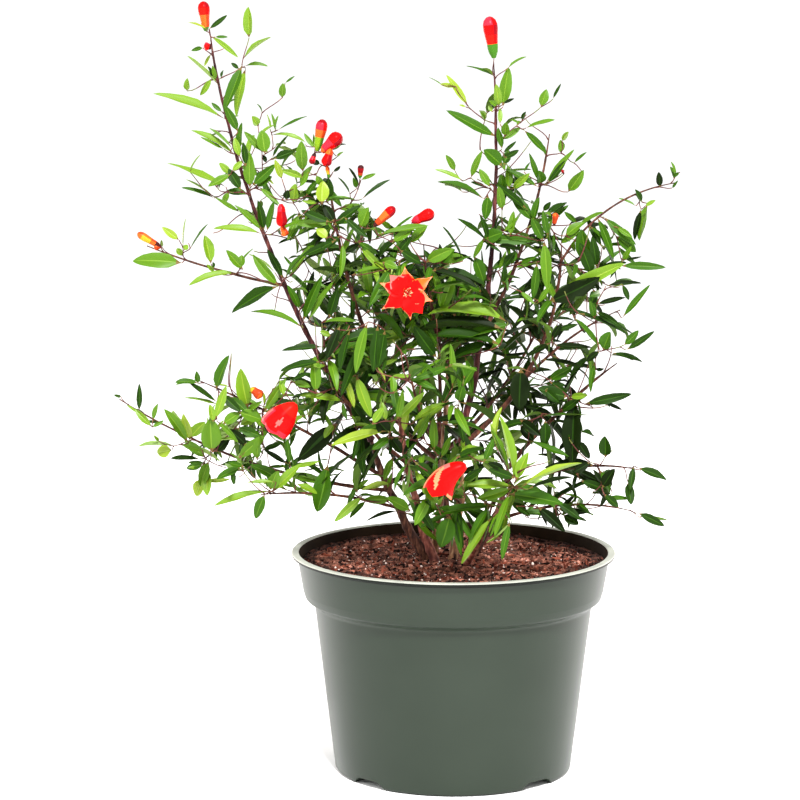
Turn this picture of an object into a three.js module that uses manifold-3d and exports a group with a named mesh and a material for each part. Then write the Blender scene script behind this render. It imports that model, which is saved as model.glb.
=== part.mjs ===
// A young pomegranate bush in a round nursery pot, in millimetres, +Z up, seen from the front along +Y.
// The origin is the centre of the pot's flat underside.
//
// The pot is one thin moulded shell: a flat underside with a foot ring, four drain notches and four drain
// holes, a body that widens upwards, a stepped collar and a flat lip. Soil fills it to just under the lip.
// Seven stems rise from the middle of the soil. Boughs leave the stems, and each bough ends where it
// enters its mass of foliage. Two leaders run up through the foliage as the bush's two spires, and stay
// whole, with the masses cut round them.
import * as THREE from "three";
import { mergeVertices } from "three/addons/utils/BufferGeometryUtils.js";
import Module from "manifold-3d";

const wasm = await Module();
wasm.setup();

// ---------------------------------------------------------------- driving dimensions
const POT = {
  height: 171,
  lipRadius: 125, // outside of the lip
  lipWidth: 5.2,
  lipThickness: 2.6,
  collarTopRadius: 120.8,
  collarFootRadius: 115.8,
  collarFootHeight: 139,
  bodyTopRadius: 107.6,
  bodyTopHeight: 132.5,
  baseRadius: 91.5,
  baseCorner: 7, // radius of the rounded edge between body and underside
  wall: 2,
  floorThickness: 2,
  recessDepth: 2.5, // of the ring-shaped hollow in the underside
  recessFrom: 34,
  recessTo: 79,
};
const DRAIN = {
  count: 4,
  notchWidth: 25,
  notchHeight: 3.6,
  notchDepth: 16,
  holeRadius: 6,
  holeCircle: 62,
};
const SOIL_DEPTH_BELOW_LIP = 8;
const GAP = 0.4; // clearance round the pot, the soil and the limbs
const MASS_GAP = 0.7; // clearance round a mass of foliage
const POT_SEGMENTS = 26;
const STEM_BURIED = 4; // length of stem made below the soil before it is cut off level
const ROOT_FLARE = 0.3; // extra radius at a stem's foot, as a share of its radius
const LIMB_SIDES = 6;
const RING_SPACING = 38; // between a limb's rings
const MASS_SIDES = 9;
const MASS_RINGS = 7;
const LIMB_TOLERANCE = 0.08; // how far simplifying may move a cut limb's surface
const MASS_TOLERANCE = 0.22; // and a cut mass's

const soilLevel = POT.height - SOIL_DEPTH_BELOW_LIP;

// Stems: foot on the soil, aim as heading from +X towards +Y and rise above level in degrees, length, bow
// (how far the middle lies above the straight line, or below it if negative), and r, the radii at foot and
// tip.
const STEMS = {
  stem_left: { foot: [-19, 2], aim: [-170, 65], length: 105, bow: -4, r: [4.4, 3] },
  stem_middle: { foot: [-14, -9], aim: [149, 75], length: 127, bow: -5, r: [4.2, 2.8] },
  stem_young: { foot: [-15, 12], aim: [-69, 80], length: 155, bow: -5, r: [3, 2.2] },
  stem_right: { foot: [-1, -7], aim: [46, 84], length: 93, bow: -4, r: [4.6, 3.4] },
  stem_outer: { foot: [13, 6], aim: [12, 67], length: 77, bow: -5, r: [4.4, 2.8] },
  stem_rear: { foot: [2, 17], aim: [110, 64], length: 85, bow: -5, r: [4.2, 2.8] },
  stem_front: { foot: [9, -19], aim: [-65, 49], length: 73, bow: -4, r: [3.4, 2.3] },
};

// Leaders and boughs: the limb each one leaves, and at which share of that limb's length.
const LEADERS = {
  leader_left: { on: "stem_left", at: 1, aim: [-177, 69], length: 343, bow: -20, r: [3, 0.9] },
  leader_right: { on: "stem_right", at: 1, aim: [24, 85], length: 298, bow: -12, r: [3.3, 0.9] },
};
const BOUGHS = {
  bough_bud_cluster: { on: "stem_middle", at: 1, aim: [-149, 72], length: 206, bow: -12, r: [2.5, 0.8] },
  bough_centre_top: { on: "stem_young", at: 1, aim: [-130, 76], length: 116, bow: -6, r: [2, 0.8] },
  bough_second_spire: { on: "leader_right", at: 0.28, aim: [27, 71], length: 185, bow: -12, r: [2, 0.8] },
  bough_right_outer: { on: "stem_right", at: 0.97, aim: [13, 63], length: 172, bow: -22, r: [2.5, 1.2] },
  arm_right_high: { on: "bough_right_outer", at: 0.93, aim: [-1, 35], length: 108, bow: 13, r: [1.2, 0.7] },
  arm_right_middle: { on: "bough_right_outer", at: 0.3, aim: [-26, 38], length: 121, bow: 8, r: [1.6, 0.7] },
  bough_right_side: { on: "stem_outer", at: 1, aim: [-3, 43], length: 146, bow: 6, r: [2.1, 0.8] },
  arm_right_low: { on: "stem_outer", at: 0.72, aim: [-13, 10], length: 123, bow: 14, r: [1.8, 0.7] },
  arm_right_lowest: { on: "stem_outer", at: 0.42, aim: [14, -1], length: 133, bow: 13, r: [1.7, 0.7] },
  arm_front_right: { on: "stem_front", at: 1, aim: [-67, 30], length: 82, bow: 6, r: [2, 0.8] },
  arm_left_high: { on: "leader_left", at: 0.395, aim: [-170, 17], length: 109, bow: -2.5, r: [1.4, 0.7] },
  arm_left_low: { on: "stem_left", at: 0.7, aim: [-165, 29], length: 171, bow: 4, r: [1.9, 0.7] },
  arm_left_lowest: { on: "stem_left", at: 0.6, aim: [176, 18], length: 221, bow: -14, r: [1.9, 0.7] },
  arm_left_front: { on: "stem_left", at: 0.45, aim: [-150, 8], length: 147, bow: 8, r: [1.6, 0.7] },
  bough_left_shoulder: { on: "stem_middle", at: 0.62, aim: [-136, 47], length: 165, bow: -8, r: [2, 0.8] },
  bough_front_centre: { on: "stem_young", at: 0.55, aim: [-104, 40], length: 150, bow: -10, r: [2, 0.8] },
  arm_front_low: { on: "stem_front", at: 0.5, aim: [-115, 36], length: 115, bow: 6, r: [1.7, 0.8] },
  bough_rear_left: { on: "stem_rear", at: 0.9, aim: [142, 45], length: 178, bow: -14, r: [2.3, 0.8] },
  bough_rear_right: { on: "stem_rear", at: 0.97, aim: [42, 45], length: 177, bow: -14, r: [2.3, 0.8] },
  bough_rear_centre: { on: "stem_rear", at: 1, aim: [91, 75], length: 175, bow: -8, r: [2.3, 0.8] },
  arm_rear_low: { on: "stem_rear", at: 0.55, aim: [90, 9], length: 129, bow: 10, r: [1.8, 0.8] },
};

// Arms that leave their bough inside another bough's foliage, and come out of it into the open.
const OUT_OF = {
  arm_right_high: "right_shoulder",
  arm_left_high: "left_spire_lower",
};

// Masses of foliage: the limb each one grows on, the shares of its length between which it lies (past 1 is
// past the limb's tip), its half-width seen from the front and half-depth, the share of its own length at
// which it is widest, and how far its middle is shifted off the limb to the right, to the rear and up.
const MASSES = {
  left_spire_top: { on: "leader_left", span: [0.75, 1.04], half: [34, 27], peak: 0.35, shift: [9, 0, 0] },
  left_spire_upper: { on: "leader_left", span: [0.5, 0.83], half: [52, 42], peak: 0.35, shift: [4, 2, 0] },
  left_spire_lower: { on: "leader_left", span: [0.2, 0.58], half: [45, 52], peak: 0.55, shift: [8, 8, 0] },
  left_arm: { on: "arm_left_high", span: [0.52, 1.14], half: [24, 27], peak: 0.4, shift: [0, 0, 5] },
  bud_cluster: { on: "bough_bud_cluster", span: [0.42, 1.12], half: [47, 46], peak: 0.45, shift: [4, 0, 0] },
  centre_top: { on: "bough_centre_top", span: [0.12, 1.12], half: [46, 44], peak: 0.45 },
  right_spire_top: { on: "leader_right", span: [0.66, 1.1], half: [45, 38], peak: 0.28, shift: [-2, 0, 0] },
  right_spire_lower: { on: "leader_right", span: [0.3, 0.74], half: [44, 46], peak: 0.5, shift: [-2, 2, 0] },
  second_spire: { on: "bough_second_spire", span: [0.3, 1.12], half: [40, 40], peak: 0.4, shift: [4, 0, 0] },
  right_shoulder: {
    on: "bough_right_outer",
    span: [0.46, 1.1],
    half: [46, 46],
    peak: 0.6,
    shift: [14, 0, 0],
  },
  right_arm: { on: "arm_right_high", span: [0.42, 1.08], half: [27, 29], peak: 0.45, shift: [2, 0, -4] },
  right_middle: { on: "arm_right_middle", span: [0.3, 1.12], half: [35, 36], peak: 0.5, shift: [0, 0, 4] },
  right_side: { on: "bough_right_side", span: [0.22, 1.05], half: [41, 46], peak: 0.5 },
  right_low: { on: "arm_right_low", span: [0.3, 1.08], half: [33, 38], peak: 0.4, shift: [0, 0, 4] },
  right_lowest: { on: "arm_right_lowest", span: [0.3, 1.08], half: [25, 37], peak: 0.4, shift: [0, 0, 3] },
  front_right: { on: "arm_front_right", span: [0.3, 1.3], half: [44, 38], peak: 0.5 },
  left_low: { on: "arm_left_low", span: [0.34, 1.1], half: [38, 38], peak: 0.5, shift: [0, 0, 3] },
  left_lowest: { on: "arm_left_lowest", span: [0.36, 1.03], half: [28, 35], peak: 0.4 },
  left_front: { on: "arm_left_front", span: [0.3, 1.12], half: [27, 33], peak: 0.4 },
  left_shoulder: { on: "bough_left_shoulder", span: [0.3, 1.14], half: [44, 42], peak: 0.5 },
  front_centre: { on: "bough_front_centre", span: [0.34, 1.12], half: [50, 46], peak: 0.5 },
  front_low: { on: "arm_front_low", span: [0.36, 1.12], half: [38, 34], peak: 0.5 },
  rear_left: { on: "bough_rear_left", span: [0.3, 1.14], half: [60, 54], peak: 0.5 },
  rear_right: { on: "bough_rear_right", span: [0.3, 1.14], half: [60, 54], peak: 0.5 },
  rear_centre: { on: "bough_rear_centre", span: [0.3, 1.14], half: [56, 52], peak: 0.5 },
  rear_low: { on: "arm_rear_low", span: [0.38, 1.14], half: [54, 42], peak: 0.5, shift: [0, 0, 2] },
};

// ---------------------------------------------------------------- materials
const material = (color, roughness) => new THREE.MeshStandardMaterial({ color, roughness, metalness: 0 });
const potPlastic = material(0x566456, 0.45);
const soilMix = material(0x3a1f18, 0.95);
const bark = material(0x5a3a2c, 0.85);
const leafGreen = material(0x3f7a2a, 0.6);

// ---------------------------------------------------------------- solids and meshes
const up = new THREE.Vector3(0, 0, 1);

function toSolid(geometry) {
  const flat = geometry.index ? geometry.toNonIndexed() : geometry;
  const bare = new THREE.BufferGeometry().setAttribute("position", flat.getAttribute("position"));
  const merged = mergeVertices(bare, 1e-3);
  return new wasm.Manifold(
    new wasm.Mesh({
      numProp: 3,
      vertProperties: merged.getAttribute("position").array,
      triVerts: new Uint32Array(merged.index.array),
    }),
  );
}

function toGeometry(solid) {
  const mesh = solid.getMesh();
  return new THREE.BufferGeometry()
    .setAttribute("position", new THREE.BufferAttribute(mesh.vertProperties, mesh.numProp))
    .setIndex(new THREE.BufferAttribute(mesh.triVerts, 1));
}

// The largest of the bodies that a cut leaves, without its smallest facets.
function largest(solid, tolerance) {
  const bodies = solid.decompose();
  return bodies.reduce((a, b) => (b.volume() > a.volume() ? b : a)).simplify(tolerance);
}

// Moves each vertex of a geometry to where place() says.
function reshape(geometry, place) {
  const position = geometry.getAttribute("position");
  const v = new THREE.Vector3();
  for (let i = 0; i < position.count; i++) {
    place(v.fromBufferAttribute(position, i));
    position.setXYZ(i, v.x, v.y, v.z);
  }
  return geometry;
}

// ---------------------------------------------------------------- pot and soil
const arc = (x, y, radius, from, to, steps) =>
  Array.from({ length: steps + 1 }, (_, i) => {
    const angle = THREE.MathUtils.degToRad(from + ((to - from) * i) / steps);
    return new THREE.Vector2(x + radius * Math.cos(angle), y + radius * Math.sin(angle));
  });

// A closed profile turned about the Z axis.
function turned(points) {
  return new THREE.LatheGeometry(points, POT_SEGMENTS).rotateX(Math.PI / 2);
}

// The pot's inner wall from the floor up, set in by a clearance, for the shell and for the soil.
function innerWall(setIn) {
  const floor = POT.recessDepth + POT.floorThickness + setIn;
  const across = POT.wall + setIn;
  return [
    new THREE.Vector2(POT.baseRadius - POT.baseCorner, floor),
    new THREE.Vector2(POT.baseRadius - across, POT.baseCorner + setIn),
    new THREE.Vector2(POT.bodyTopRadius - across, POT.bodyTopHeight),
    new THREE.Vector2(POT.collarFootRadius - across, POT.collarFootHeight),
    new THREE.Vector2(POT.collarTopRadius - across, POT.height - POT.lipThickness),
  ];
}

function makePot() {
  const floor = POT.recessDepth + POT.floorThickness;
  const shell = toSolid(
    turned([
      new THREE.Vector2(0, 0),
      new THREE.Vector2(POT.recessFrom, 0),
      new THREE.Vector2(POT.recessFrom + POT.recessDepth, POT.recessDepth),
      new THREE.Vector2(POT.recessTo - POT.recessDepth, POT.recessDepth),
      new THREE.Vector2(POT.recessTo, 0),
      ...arc(POT.baseRadius - POT.baseCorner, POT.baseCorner, POT.baseCorner, -90, 0, 3),
      new THREE.Vector2(POT.bodyTopRadius, POT.bodyTopHeight),
      new THREE.Vector2(POT.collarFootRadius - 1.5, POT.collarFootHeight - 3.5),
      new THREE.Vector2(POT.collarFootRadius, POT.collarFootHeight),
      new THREE.Vector2(POT.collarTopRadius, POT.height - POT.lipThickness),
      new THREE.Vector2(POT.lipRadius, POT.height - POT.lipThickness),
      new THREE.Vector2(POT.lipRadius, POT.height - 0.8),
      new THREE.Vector2(POT.lipRadius - 0.8, POT.height),
      new THREE.Vector2(POT.lipRadius - POT.lipWidth, POT.height),
      ...innerWall(0).reverse(),
      new THREE.Vector2(0, floor),
    ]),
  );
  return drainCutters().reduce((solid, cutter) => solid.subtract(cutter), shell);
}

// An arched notch through the foot ring and a round hole in the floor, at each drain's angle.
function drainCutters() {
  const arch = new THREE.Shape();
  arch.absellipse(0, 0, DRAIN.notchWidth / 2, DRAIN.notchHeight, 0, 2 * Math.PI);
  const across = { depth: DRAIN.notchDepth, bevelEnabled: false, curveSegments: 3 };
  const notch = new THREE.ExtrudeGeometry(arch, across)
    .rotateX(Math.PI / 2)
    .rotateZ(Math.PI / 2)
    .translate(POT.baseRadius - DRAIN.notchDepth + 1, 0, 0);
  const hole = new THREE.CylinderGeometry(DRAIN.holeRadius, DRAIN.holeRadius, 20, 8)
    .rotateX(Math.PI / 2)
    .translate(DRAIN.holeCircle, 0, 0);
  const cutters = [];
  for (let i = 0; i < DRAIN.count; i++) {
    const angle = (Math.PI * (2 * i + 1)) / DRAIN.count;
    cutters.push(toSolid(notch.clone().rotateZ(angle)), toSolid(hole.clone().rotateZ(angle)));
  }
  return cutters;
}

// The soil fills the pot's inside up to the soil level.
function makeSoil() {
  const wall = innerWall(GAP);
  const top = wall.pop();
  const below = wall[wall.length - 1];
  const share = (soilLevel - below.y) / (top.y - below.y);
  const edge = new THREE.Vector2().lerpVectors(below, top, share);
  return toSolid(turned([new THREE.Vector2(0, wall[0].y), ...wall, edge, new THREE.Vector2(0, soilLevel)]));
}

// ---------------------------------------------------------------- limbs
const limbPaths = {};

// The direction that a heading and a rise name.
function direction(aim) {
  const [heading, rise] = aim.map(THREE.MathUtils.degToRad);
  return new THREE.Vector3(
    Math.cos(heading) * Math.cos(rise),
    Math.sin(heading) * Math.cos(rise),
    Math.sin(rise),
  );
}

// A limb's centre line: a curve from its foot to its tip whose middle is bowed in its upright plane.
function limbPath(row) {
  const foot = row.on ? limbPaths[row.on].getPoint(row.at) : new THREE.Vector3(...row.foot, soilLevel);
  const along = direction(row.aim);
  const above = new THREE.Vector3().crossVectors(along, up).normalize().cross(along);
  const tip = foot.clone().addScaledVector(along, row.length);
  const middle = foot.clone().lerp(tip, 0.5).addScaledVector(above, 2 * row.bow);
  return new THREE.QuadraticBezierCurve3(foot, middle, tip);
}

// A limb's solid: a tapering cylinder bent along its path. A stem flares at its foot, and reaches below the
// soil's surface to be cut off level there. With grow it is that much bigger all round.
function limbSolid(path, row, grow = 0) {
  const [thick, thin] = row.r;
  const rings = Math.max(3, Math.round(row.length / RING_SPACING));
  const start = row.on ? 0 : -STEM_BURIED / row.length;
  const sideways = new THREE.Vector3().crossVectors(direction(row.aim), up).normalize();
  const tube = new THREE.CylinderGeometry(1, 1, 1, LIMB_SIDES, rings).rotateX(Math.PI / 2);
  return toSolid(
    reshape(tube, (v) => {
      const share = 0.5 + v.z;
      const t = start + share * (1 - start);
      const inside = Math.max(t, 0);
      const tangent = path.getTangent(inside);
      const under = new THREE.Vector3().crossVectors(tangent, sideways);
      const endCap = share < 1e-6 ? -grow : share > 1 - 1e-6 ? grow : 0;
      const flare = row.on ? 0 : ROOT_FLARE * thick * Math.exp(-5 * inside);
      const radius = thick + (thin - thick) * inside + flare + grow;
      const [x, y] = [v.x * radius, v.y * radius];
      v.copy(path.getPoint(inside)).addScaledVector(tangent, Math.min(t, 0) * row.length + endCap);
      v.addScaledVector(sideways, x).addScaledVector(under, y);
    }),
  );
}

// ---------------------------------------------------------------- foliage
// A point of a limb's centre line, or of its straight continuation past the tip.
function pointOnLimb(path, t) {
  const past = Math.max(t - 1, 0);
  return path.getPoint(Math.min(t, 1)).addScaledVector(path.getTangent(1), past * path.getLength());
}

// A mass of leaves: a spindle along its limb, widest where the row says, with uneven flanks. Each mass has
// its own pattern of lumps, from its place in the table.
function massSolid(row, index, grow = 0) {
  const path = limbPaths[row.on];
  const foot = pointOnLimb(path, row.span[0]);
  const tip = pointOnLimb(path, row.span[1]);
  const along = tip.clone().sub(foot).normalize();
  const endOn = Math.abs(along.y) > 0.75;
  const back = endOn ? new THREE.Vector3(1, 0, 0) : new THREE.Vector3(0, 1, 0);
  const inwards = back.clone().addScaledVector(along, -back.dot(along)).normalize();
  const across = new THREE.Vector3().crossVectors(inwards, along);
  const [halfAcross, halfInwards] = endOn ? [row.half[1], row.half[0]] : row.half;
  const bend = pointOnLimb(path, (row.span[0] + row.span[1]) / 2)
    .sub(foot.clone().lerp(tip, 0.5))
    .add(new THREE.Vector3(...(row.shift ?? [0, 0, 0])));
  foot.addScaledVector(along, -grow);
  tip.addScaledVector(along, grow);
  const power = Math.log(0.5) / Math.log(row.peak);
  return toSolid(
    reshape(new THREE.SphereGeometry(1, MASS_SIDES, MASS_RINGS).rotateX(Math.PI / 2), (v) => {
      const t = (v.z + 1) / 2;
      const angle = Math.atan2(v.y, v.x);
      const girth = Math.hypot(v.x, v.y) < 1e-6 ? 0 : Math.sin(Math.PI * t ** power) ** 0.75;
      const lumps =
        1 +
        0.15 * Math.sin(3 * angle + 7 * t + 1.7 * index) +
        0.1 * Math.sin(5 * angle - 11 * t + 2.9 * index) +
        0.08 * Math.sin(2 * angle + 17 * t + 4.1 * index);
      v.copy(foot).lerp(tip, t);
      v.addScaledVector(bend, 4 * t * (1 - t));
      v.addScaledVector(across, Math.cos(angle) * (halfAcross * lumps + grow) * girth);
      v.addScaledVector(inwards, Math.sin(angle) * (halfInwards * lumps + grow) * girth);
    }),
  );
}

// ---------------------------------------------------------------- assembly
const group = new THREE.Group();

function addMesh(name, solid, finish) {
  const mesh = new THREE.Mesh(toGeometry(solid), finish);
  mesh.name = name;
  group.add(mesh);
}

addMesh("pot", makePot(), potPlastic);
addMesh("soil", makeSoil(), soilMix);

const limbs = { ...STEMS, ...LEADERS, ...BOUGHS };
for (const [name, row] of Object.entries(limbs)) limbPaths[name] = limbPath(row);

const massRows = Object.entries(MASSES);
const grownMasses = massRows.map(([, row], i) => massSolid(row, i, MASS_GAP));

// The masses in whose foliage a bough starts or ends.
const massesRound = (name) =>
  grownMasses.filter((_, i) => massRows[i][1].on === name || massRows[i][0] === OUT_OF[name]);

// A box round a solid, with room for the gap on every side.
function boxRound(solid) {
  const { min, max } = solid.boundingBox();
  const size = max.map((v, i) => v - min[i] + 2 * GAP);
  const centre = max.map((v, i) => (v + min[i]) / 2);
  return toSolid(new THREE.BoxGeometry(...size).translate(...centre));
}

// Each limb stops a gap short of the limbs before it, and a bough stops where it enters its foliage.
const grownLimbs = [];
for (const [name, row] of Object.entries(limbs)) {
  let solid = limbSolid(limbPaths[name], row);
  if (name in STEMS) solid = solid.trimByPlane([0, 0, 1], soilLevel + GAP);
  if (name in BOUGHS) solid = massesRound(name).reduce((left, mass) => left.subtract(mass), solid);
  solid = grownLimbs.reduce((left, limb) => left.subtract(limb), solid);
  solid = largest(solid, LIMB_TOLERANCE);
  grownLimbs.push(limbSolid(limbPaths[name], row, GAP).intersect(boxRound(solid)));
  addMesh(name, solid, bark);
}

// Each mass is cut round the limbs and round the masses before it.
massRows.forEach(([name, row], i) => {
  const neighbours = [...grownLimbs, ...grownMasses.slice(0, i)];
  const solid = neighbours.reduce((left, other) => left.subtract(other), massSolid(row, i));
  addMesh(`foliage_${name}`, largest(solid, MASS_TOLERANCE), leafGreen);
});

export default group;
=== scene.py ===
"""A young pomegranate bush in a round nursery pot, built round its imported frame.

Lengths are millimetres in the row frame, +Z up, seen from the front along +Y. They become metres where a
mesh is made. Each limb follows the same curve as its CAD solid. Each mass of foliage is grown: shoots leave
the limb inside the mass and reach for points spread through it, and leaves in opposite pairs stand along
the shoots. All random draws are seeded, with a generator for each job and each mass.
"""

import math

import bpy
import numpy as np
from mathutils import Matrix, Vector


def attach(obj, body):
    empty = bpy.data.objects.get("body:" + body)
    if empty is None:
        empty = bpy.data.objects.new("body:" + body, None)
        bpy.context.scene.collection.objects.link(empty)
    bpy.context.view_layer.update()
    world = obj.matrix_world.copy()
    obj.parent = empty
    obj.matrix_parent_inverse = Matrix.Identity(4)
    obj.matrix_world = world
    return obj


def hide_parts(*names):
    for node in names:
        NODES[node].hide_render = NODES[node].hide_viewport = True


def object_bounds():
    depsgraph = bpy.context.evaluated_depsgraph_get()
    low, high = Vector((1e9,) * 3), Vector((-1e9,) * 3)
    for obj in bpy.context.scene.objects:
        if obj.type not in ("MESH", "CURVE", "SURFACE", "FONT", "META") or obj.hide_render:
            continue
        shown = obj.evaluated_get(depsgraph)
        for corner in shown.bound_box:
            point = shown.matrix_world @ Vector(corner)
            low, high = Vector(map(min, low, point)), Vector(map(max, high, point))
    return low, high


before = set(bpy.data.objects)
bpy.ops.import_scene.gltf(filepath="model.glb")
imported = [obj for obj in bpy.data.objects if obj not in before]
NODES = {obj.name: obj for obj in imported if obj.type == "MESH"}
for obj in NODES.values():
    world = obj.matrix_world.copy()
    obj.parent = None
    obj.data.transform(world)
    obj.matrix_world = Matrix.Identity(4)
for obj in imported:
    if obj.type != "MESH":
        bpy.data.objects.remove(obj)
CAD_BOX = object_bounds()

SEED = 41
# Each job draws from a generator of its own, seeded with SEED and one of these numbers.
CRUMB_DRAWS, STAR_DRAWS, LIMB_DRAWS, LIGHT_DRAWS, SEEN_DRAWS = 900, 800, 700, 650, 600
TWIG_DRAWS, LEAF_DRAWS = 500, 300  # plus the number of the mass
MM = 0.001
UP = np.array([0.0, 0.0, 1.0])
TOWARDS_VIEWER = np.array([0.0, -1.0, 0.15])

# ---------------------------------------------------------------- camera
# Focal length, distance and elevation were set by hand to suit the pot's rim and base. A scratch script
# worked out the place, yaw and pitch from them and from the middle of the rim.
IMAGE_SIDE = 800
FOCAL_PIXELS = 3100.0
SENSOR = 36.0
CAMERA_AT = np.array([0.0, -2352.65, 645.38])
CAMERA_YAW = -0.017517
CAMERA_PITCH = -0.150584
CLIP_END = 50.0

VIEW_AHEAD = np.array(
    [
        math.sin(CAMERA_YAW) * math.cos(CAMERA_PITCH),
        math.cos(CAMERA_YAW) * math.cos(CAMERA_PITCH),
        math.sin(CAMERA_PITCH),
    ]
)
VIEW_RIGHT = np.cross(VIEW_AHEAD, UP)
VIEW_RIGHT /= np.linalg.norm(VIEW_RIGHT)
VIEW_UP = np.cross(VIEW_RIGHT, VIEW_AHEAD)


def make_camera():
    data = bpy.data.cameras.new("camera")
    data.sensor_width = SENSOR
    data.lens = SENSOR * FOCAL_PIXELS / IMAGE_SIDE
    data.clip_end = CLIP_END
    camera = bpy.data.objects.new("camera", data)
    turn = Matrix([VIEW_RIGHT, VIEW_UP, -VIEW_AHEAD]).transposed()
    camera.matrix_world = Matrix.Translation(CAMERA_AT * MM) @ turn.to_4x4()
    bpy.context.scene.collection.objects.link(camera)
    bpy.context.scene.camera = camera


def at_pixel(u, v, depth):
    """The point that shows at pixel (u, v) and lies at depth, its y."""
    half = IMAGE_SIDE / 2
    ray = VIEW_AHEAD + (u - half) / FOCAL_PIXELS * VIEW_RIGHT + (half - v) / FOCAL_PIXELS * VIEW_UP
    return CAMERA_AT + ray * (depth - CAMERA_AT[1]) / ray[1]


def to_pixel(points):
    away = np.asarray(points) - CAMERA_AT
    depth = away @ VIEW_AHEAD
    u = IMAGE_SIDE / 2 + FOCAL_PIXELS * (away @ VIEW_RIGHT) / depth
    v = IMAGE_SIDE / 2 - FOCAL_PIXELS * (away @ VIEW_UP) / depth
    return u, v


# ---------------------------------------------------------------- vectors and noise
def unit(v):
    v = np.asarray(v, float)
    return v / np.maximum(np.linalg.norm(v, axis=-1, keepdims=True), 1e-9)


def square_to(v, axis):
    """The part of v that is square to axis, as a unit vector."""
    return unit(v - np.sum(v * axis, axis=-1, keepdims=True) * axis)


HASH_STEPS = (374761393, 668265263, 1442695041)
HASH_SEED_STEP = 97
HASH_SPREAD = 1274126177


def lattice(cell, seed):
    """A value from -1 to 1 for each cell of a grid, by an integer hash."""
    n = sum(cell[..., k] * step for k, step in enumerate(HASH_STEPS)) + seed * HASH_SEED_STEP
    n = ((n ^ (n >> 13)) * HASH_SPREAD) & 0xFFFFFFFF
    return ((n ^ (n >> 16)) & 0xFFFF) / 32767.5 - 1


def noise(points, scale, seed):
    """Smooth noise from -1 to 1 whose bumps are about scale across."""
    p = np.asarray(points, float) / scale + 1000
    cell = np.floor(p).astype(np.int64)
    f = p - cell
    f = f * f * (3 - 2 * f)
    total = 0
    for corner in np.ndindex(2, 2, 2):
        weight = np.prod(np.where(corner, f, 1 - f), axis=-1)
        total = total + weight * lattice(cell + np.array(corner), seed)
    return total


# ---------------------------------------------------------------- materials
def linear(r, g, b):
    """A colour given in sRGB, 0 to 255, as Blender's linear colour."""
    share = [c / 255 for c in (r, g, b)]
    return tuple(c / 12.92 if c <= 0.04045 else ((c + 0.055) / 1.055) ** 2.4 for c in share) + (1.0,)


MIX_INPUTS, MIX_OUTPUT = (0, 6, 7), 2  # a colour Mix node's sockets: factor and two colours, and result


def plain(name, colour, roughness, specular):
    material = bpy.data.materials.new(name)
    material.use_nodes = True
    shader = material.node_tree.nodes["Principled BSDF"]
    shader.inputs["Base Color"].default_value = linear(*colour)
    shader.inputs["Roughness"].default_value = roughness
    shader.inputs["Specular IOR Level"].default_value = specular
    return material


class Pattern:
    """A Principled material under construction, with its nodes in object coordinates."""

    def __init__(self, name, specular):
        self.material = bpy.data.materials.new(name)
        self.material.use_nodes = True
        self.nodes = self.material.node_tree.nodes
        self.links = self.material.node_tree.links
        self.shader = self.nodes["Principled BSDF"]
        self.shader.inputs["Specular IOR Level"].default_value = specular
        self.place = self.nodes.new("ShaderNodeTexCoord").outputs["Object"]

    def noise(self, scale, detail, stretch=(1, 1, 1)):
        node = self.nodes.new("ShaderNodeTexNoise")
        node.inputs["Scale"].default_value = scale
        node.inputs["Detail"].default_value = detail
        spread = self.nodes.new("ShaderNodeMapping")
        spread.inputs["Scale"].default_value = stretch
        self.links.new(self.place, spread.inputs["Vector"])
        self.links.new(spread.outputs["Vector"], node.inputs["Vector"])
        return node.outputs["Fac"]

    def cells(self, scale):
        node = self.nodes.new("ShaderNodeTexVoronoi")
        node.inputs["Scale"].default_value = scale
        self.links.new(self.place, node.inputs["Vector"])
        return node.outputs["Distance"]

    def ramp(self, factor, stops):
        node = self.nodes.new("ShaderNodeValToRGB")
        elements = node.color_ramp.elements
        while len(elements) < len(stops):
            elements.new(0.5)
        for element, (position, colour) in zip(elements, stops):
            element.position = position
            element.color = linear(*colour)
        self.links.new(factor, node.inputs["Fac"])
        return node.outputs["Color"]

    def mix(self, factor, a, b, blend="MIX"):
        node = self.nodes.new("ShaderNodeMix")
        node.data_type = "RGBA"
        node.blend_type = blend
        for value, number in zip((factor, a, b), MIX_INPUTS):
            socket = node.inputs[number]
            if isinstance(value, bpy.types.NodeSocket):
                self.links.new(value, socket)
            else:
                socket.default_value = value
        return node.outputs[MIX_OUTPUT]

    def spread(self, factor, low, high):
        node = self.nodes.new("ShaderNodeMapRange")
        node.inputs["To Min"].default_value = low
        node.inputs["To Max"].default_value = high
        self.links.new(factor, node.inputs["Value"])
        return node.outputs["Result"]

    def finish(self, colour, roughness, height, distance, strength):
        self.links.new(colour, self.shader.inputs["Base Color"])
        self.links.new(roughness, self.shader.inputs["Roughness"])
        bump = self.nodes.new("ShaderNodeBump")
        bump.inputs["Strength"].default_value = strength
        bump.inputs["Distance"].default_value = distance
        self.links.new(height, bump.inputs["Height"])
        self.links.new(bump.outputs["Normal"], self.shader.inputs["Normal"])
        return self.material


def plastic(name, dark, pale, specular=0.3, rough=(0.4, 0.6), clouds=(40, 4, 0.35)):
    """Finely grained plastic whose colour wanders in clouds: their scale, detail, and how soft they are."""
    p = Pattern(name, specular)
    scale, detail, edge = clouds
    cloud = p.noise(scale, detail)
    grain = p.noise(900, 2)
    colour = p.ramp(cloud, [(edge, dark), (1 - edge, pale)])
    return p.finish(colour, p.spread(cloud, *rough), grain, 0.0001, 0.25)


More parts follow.
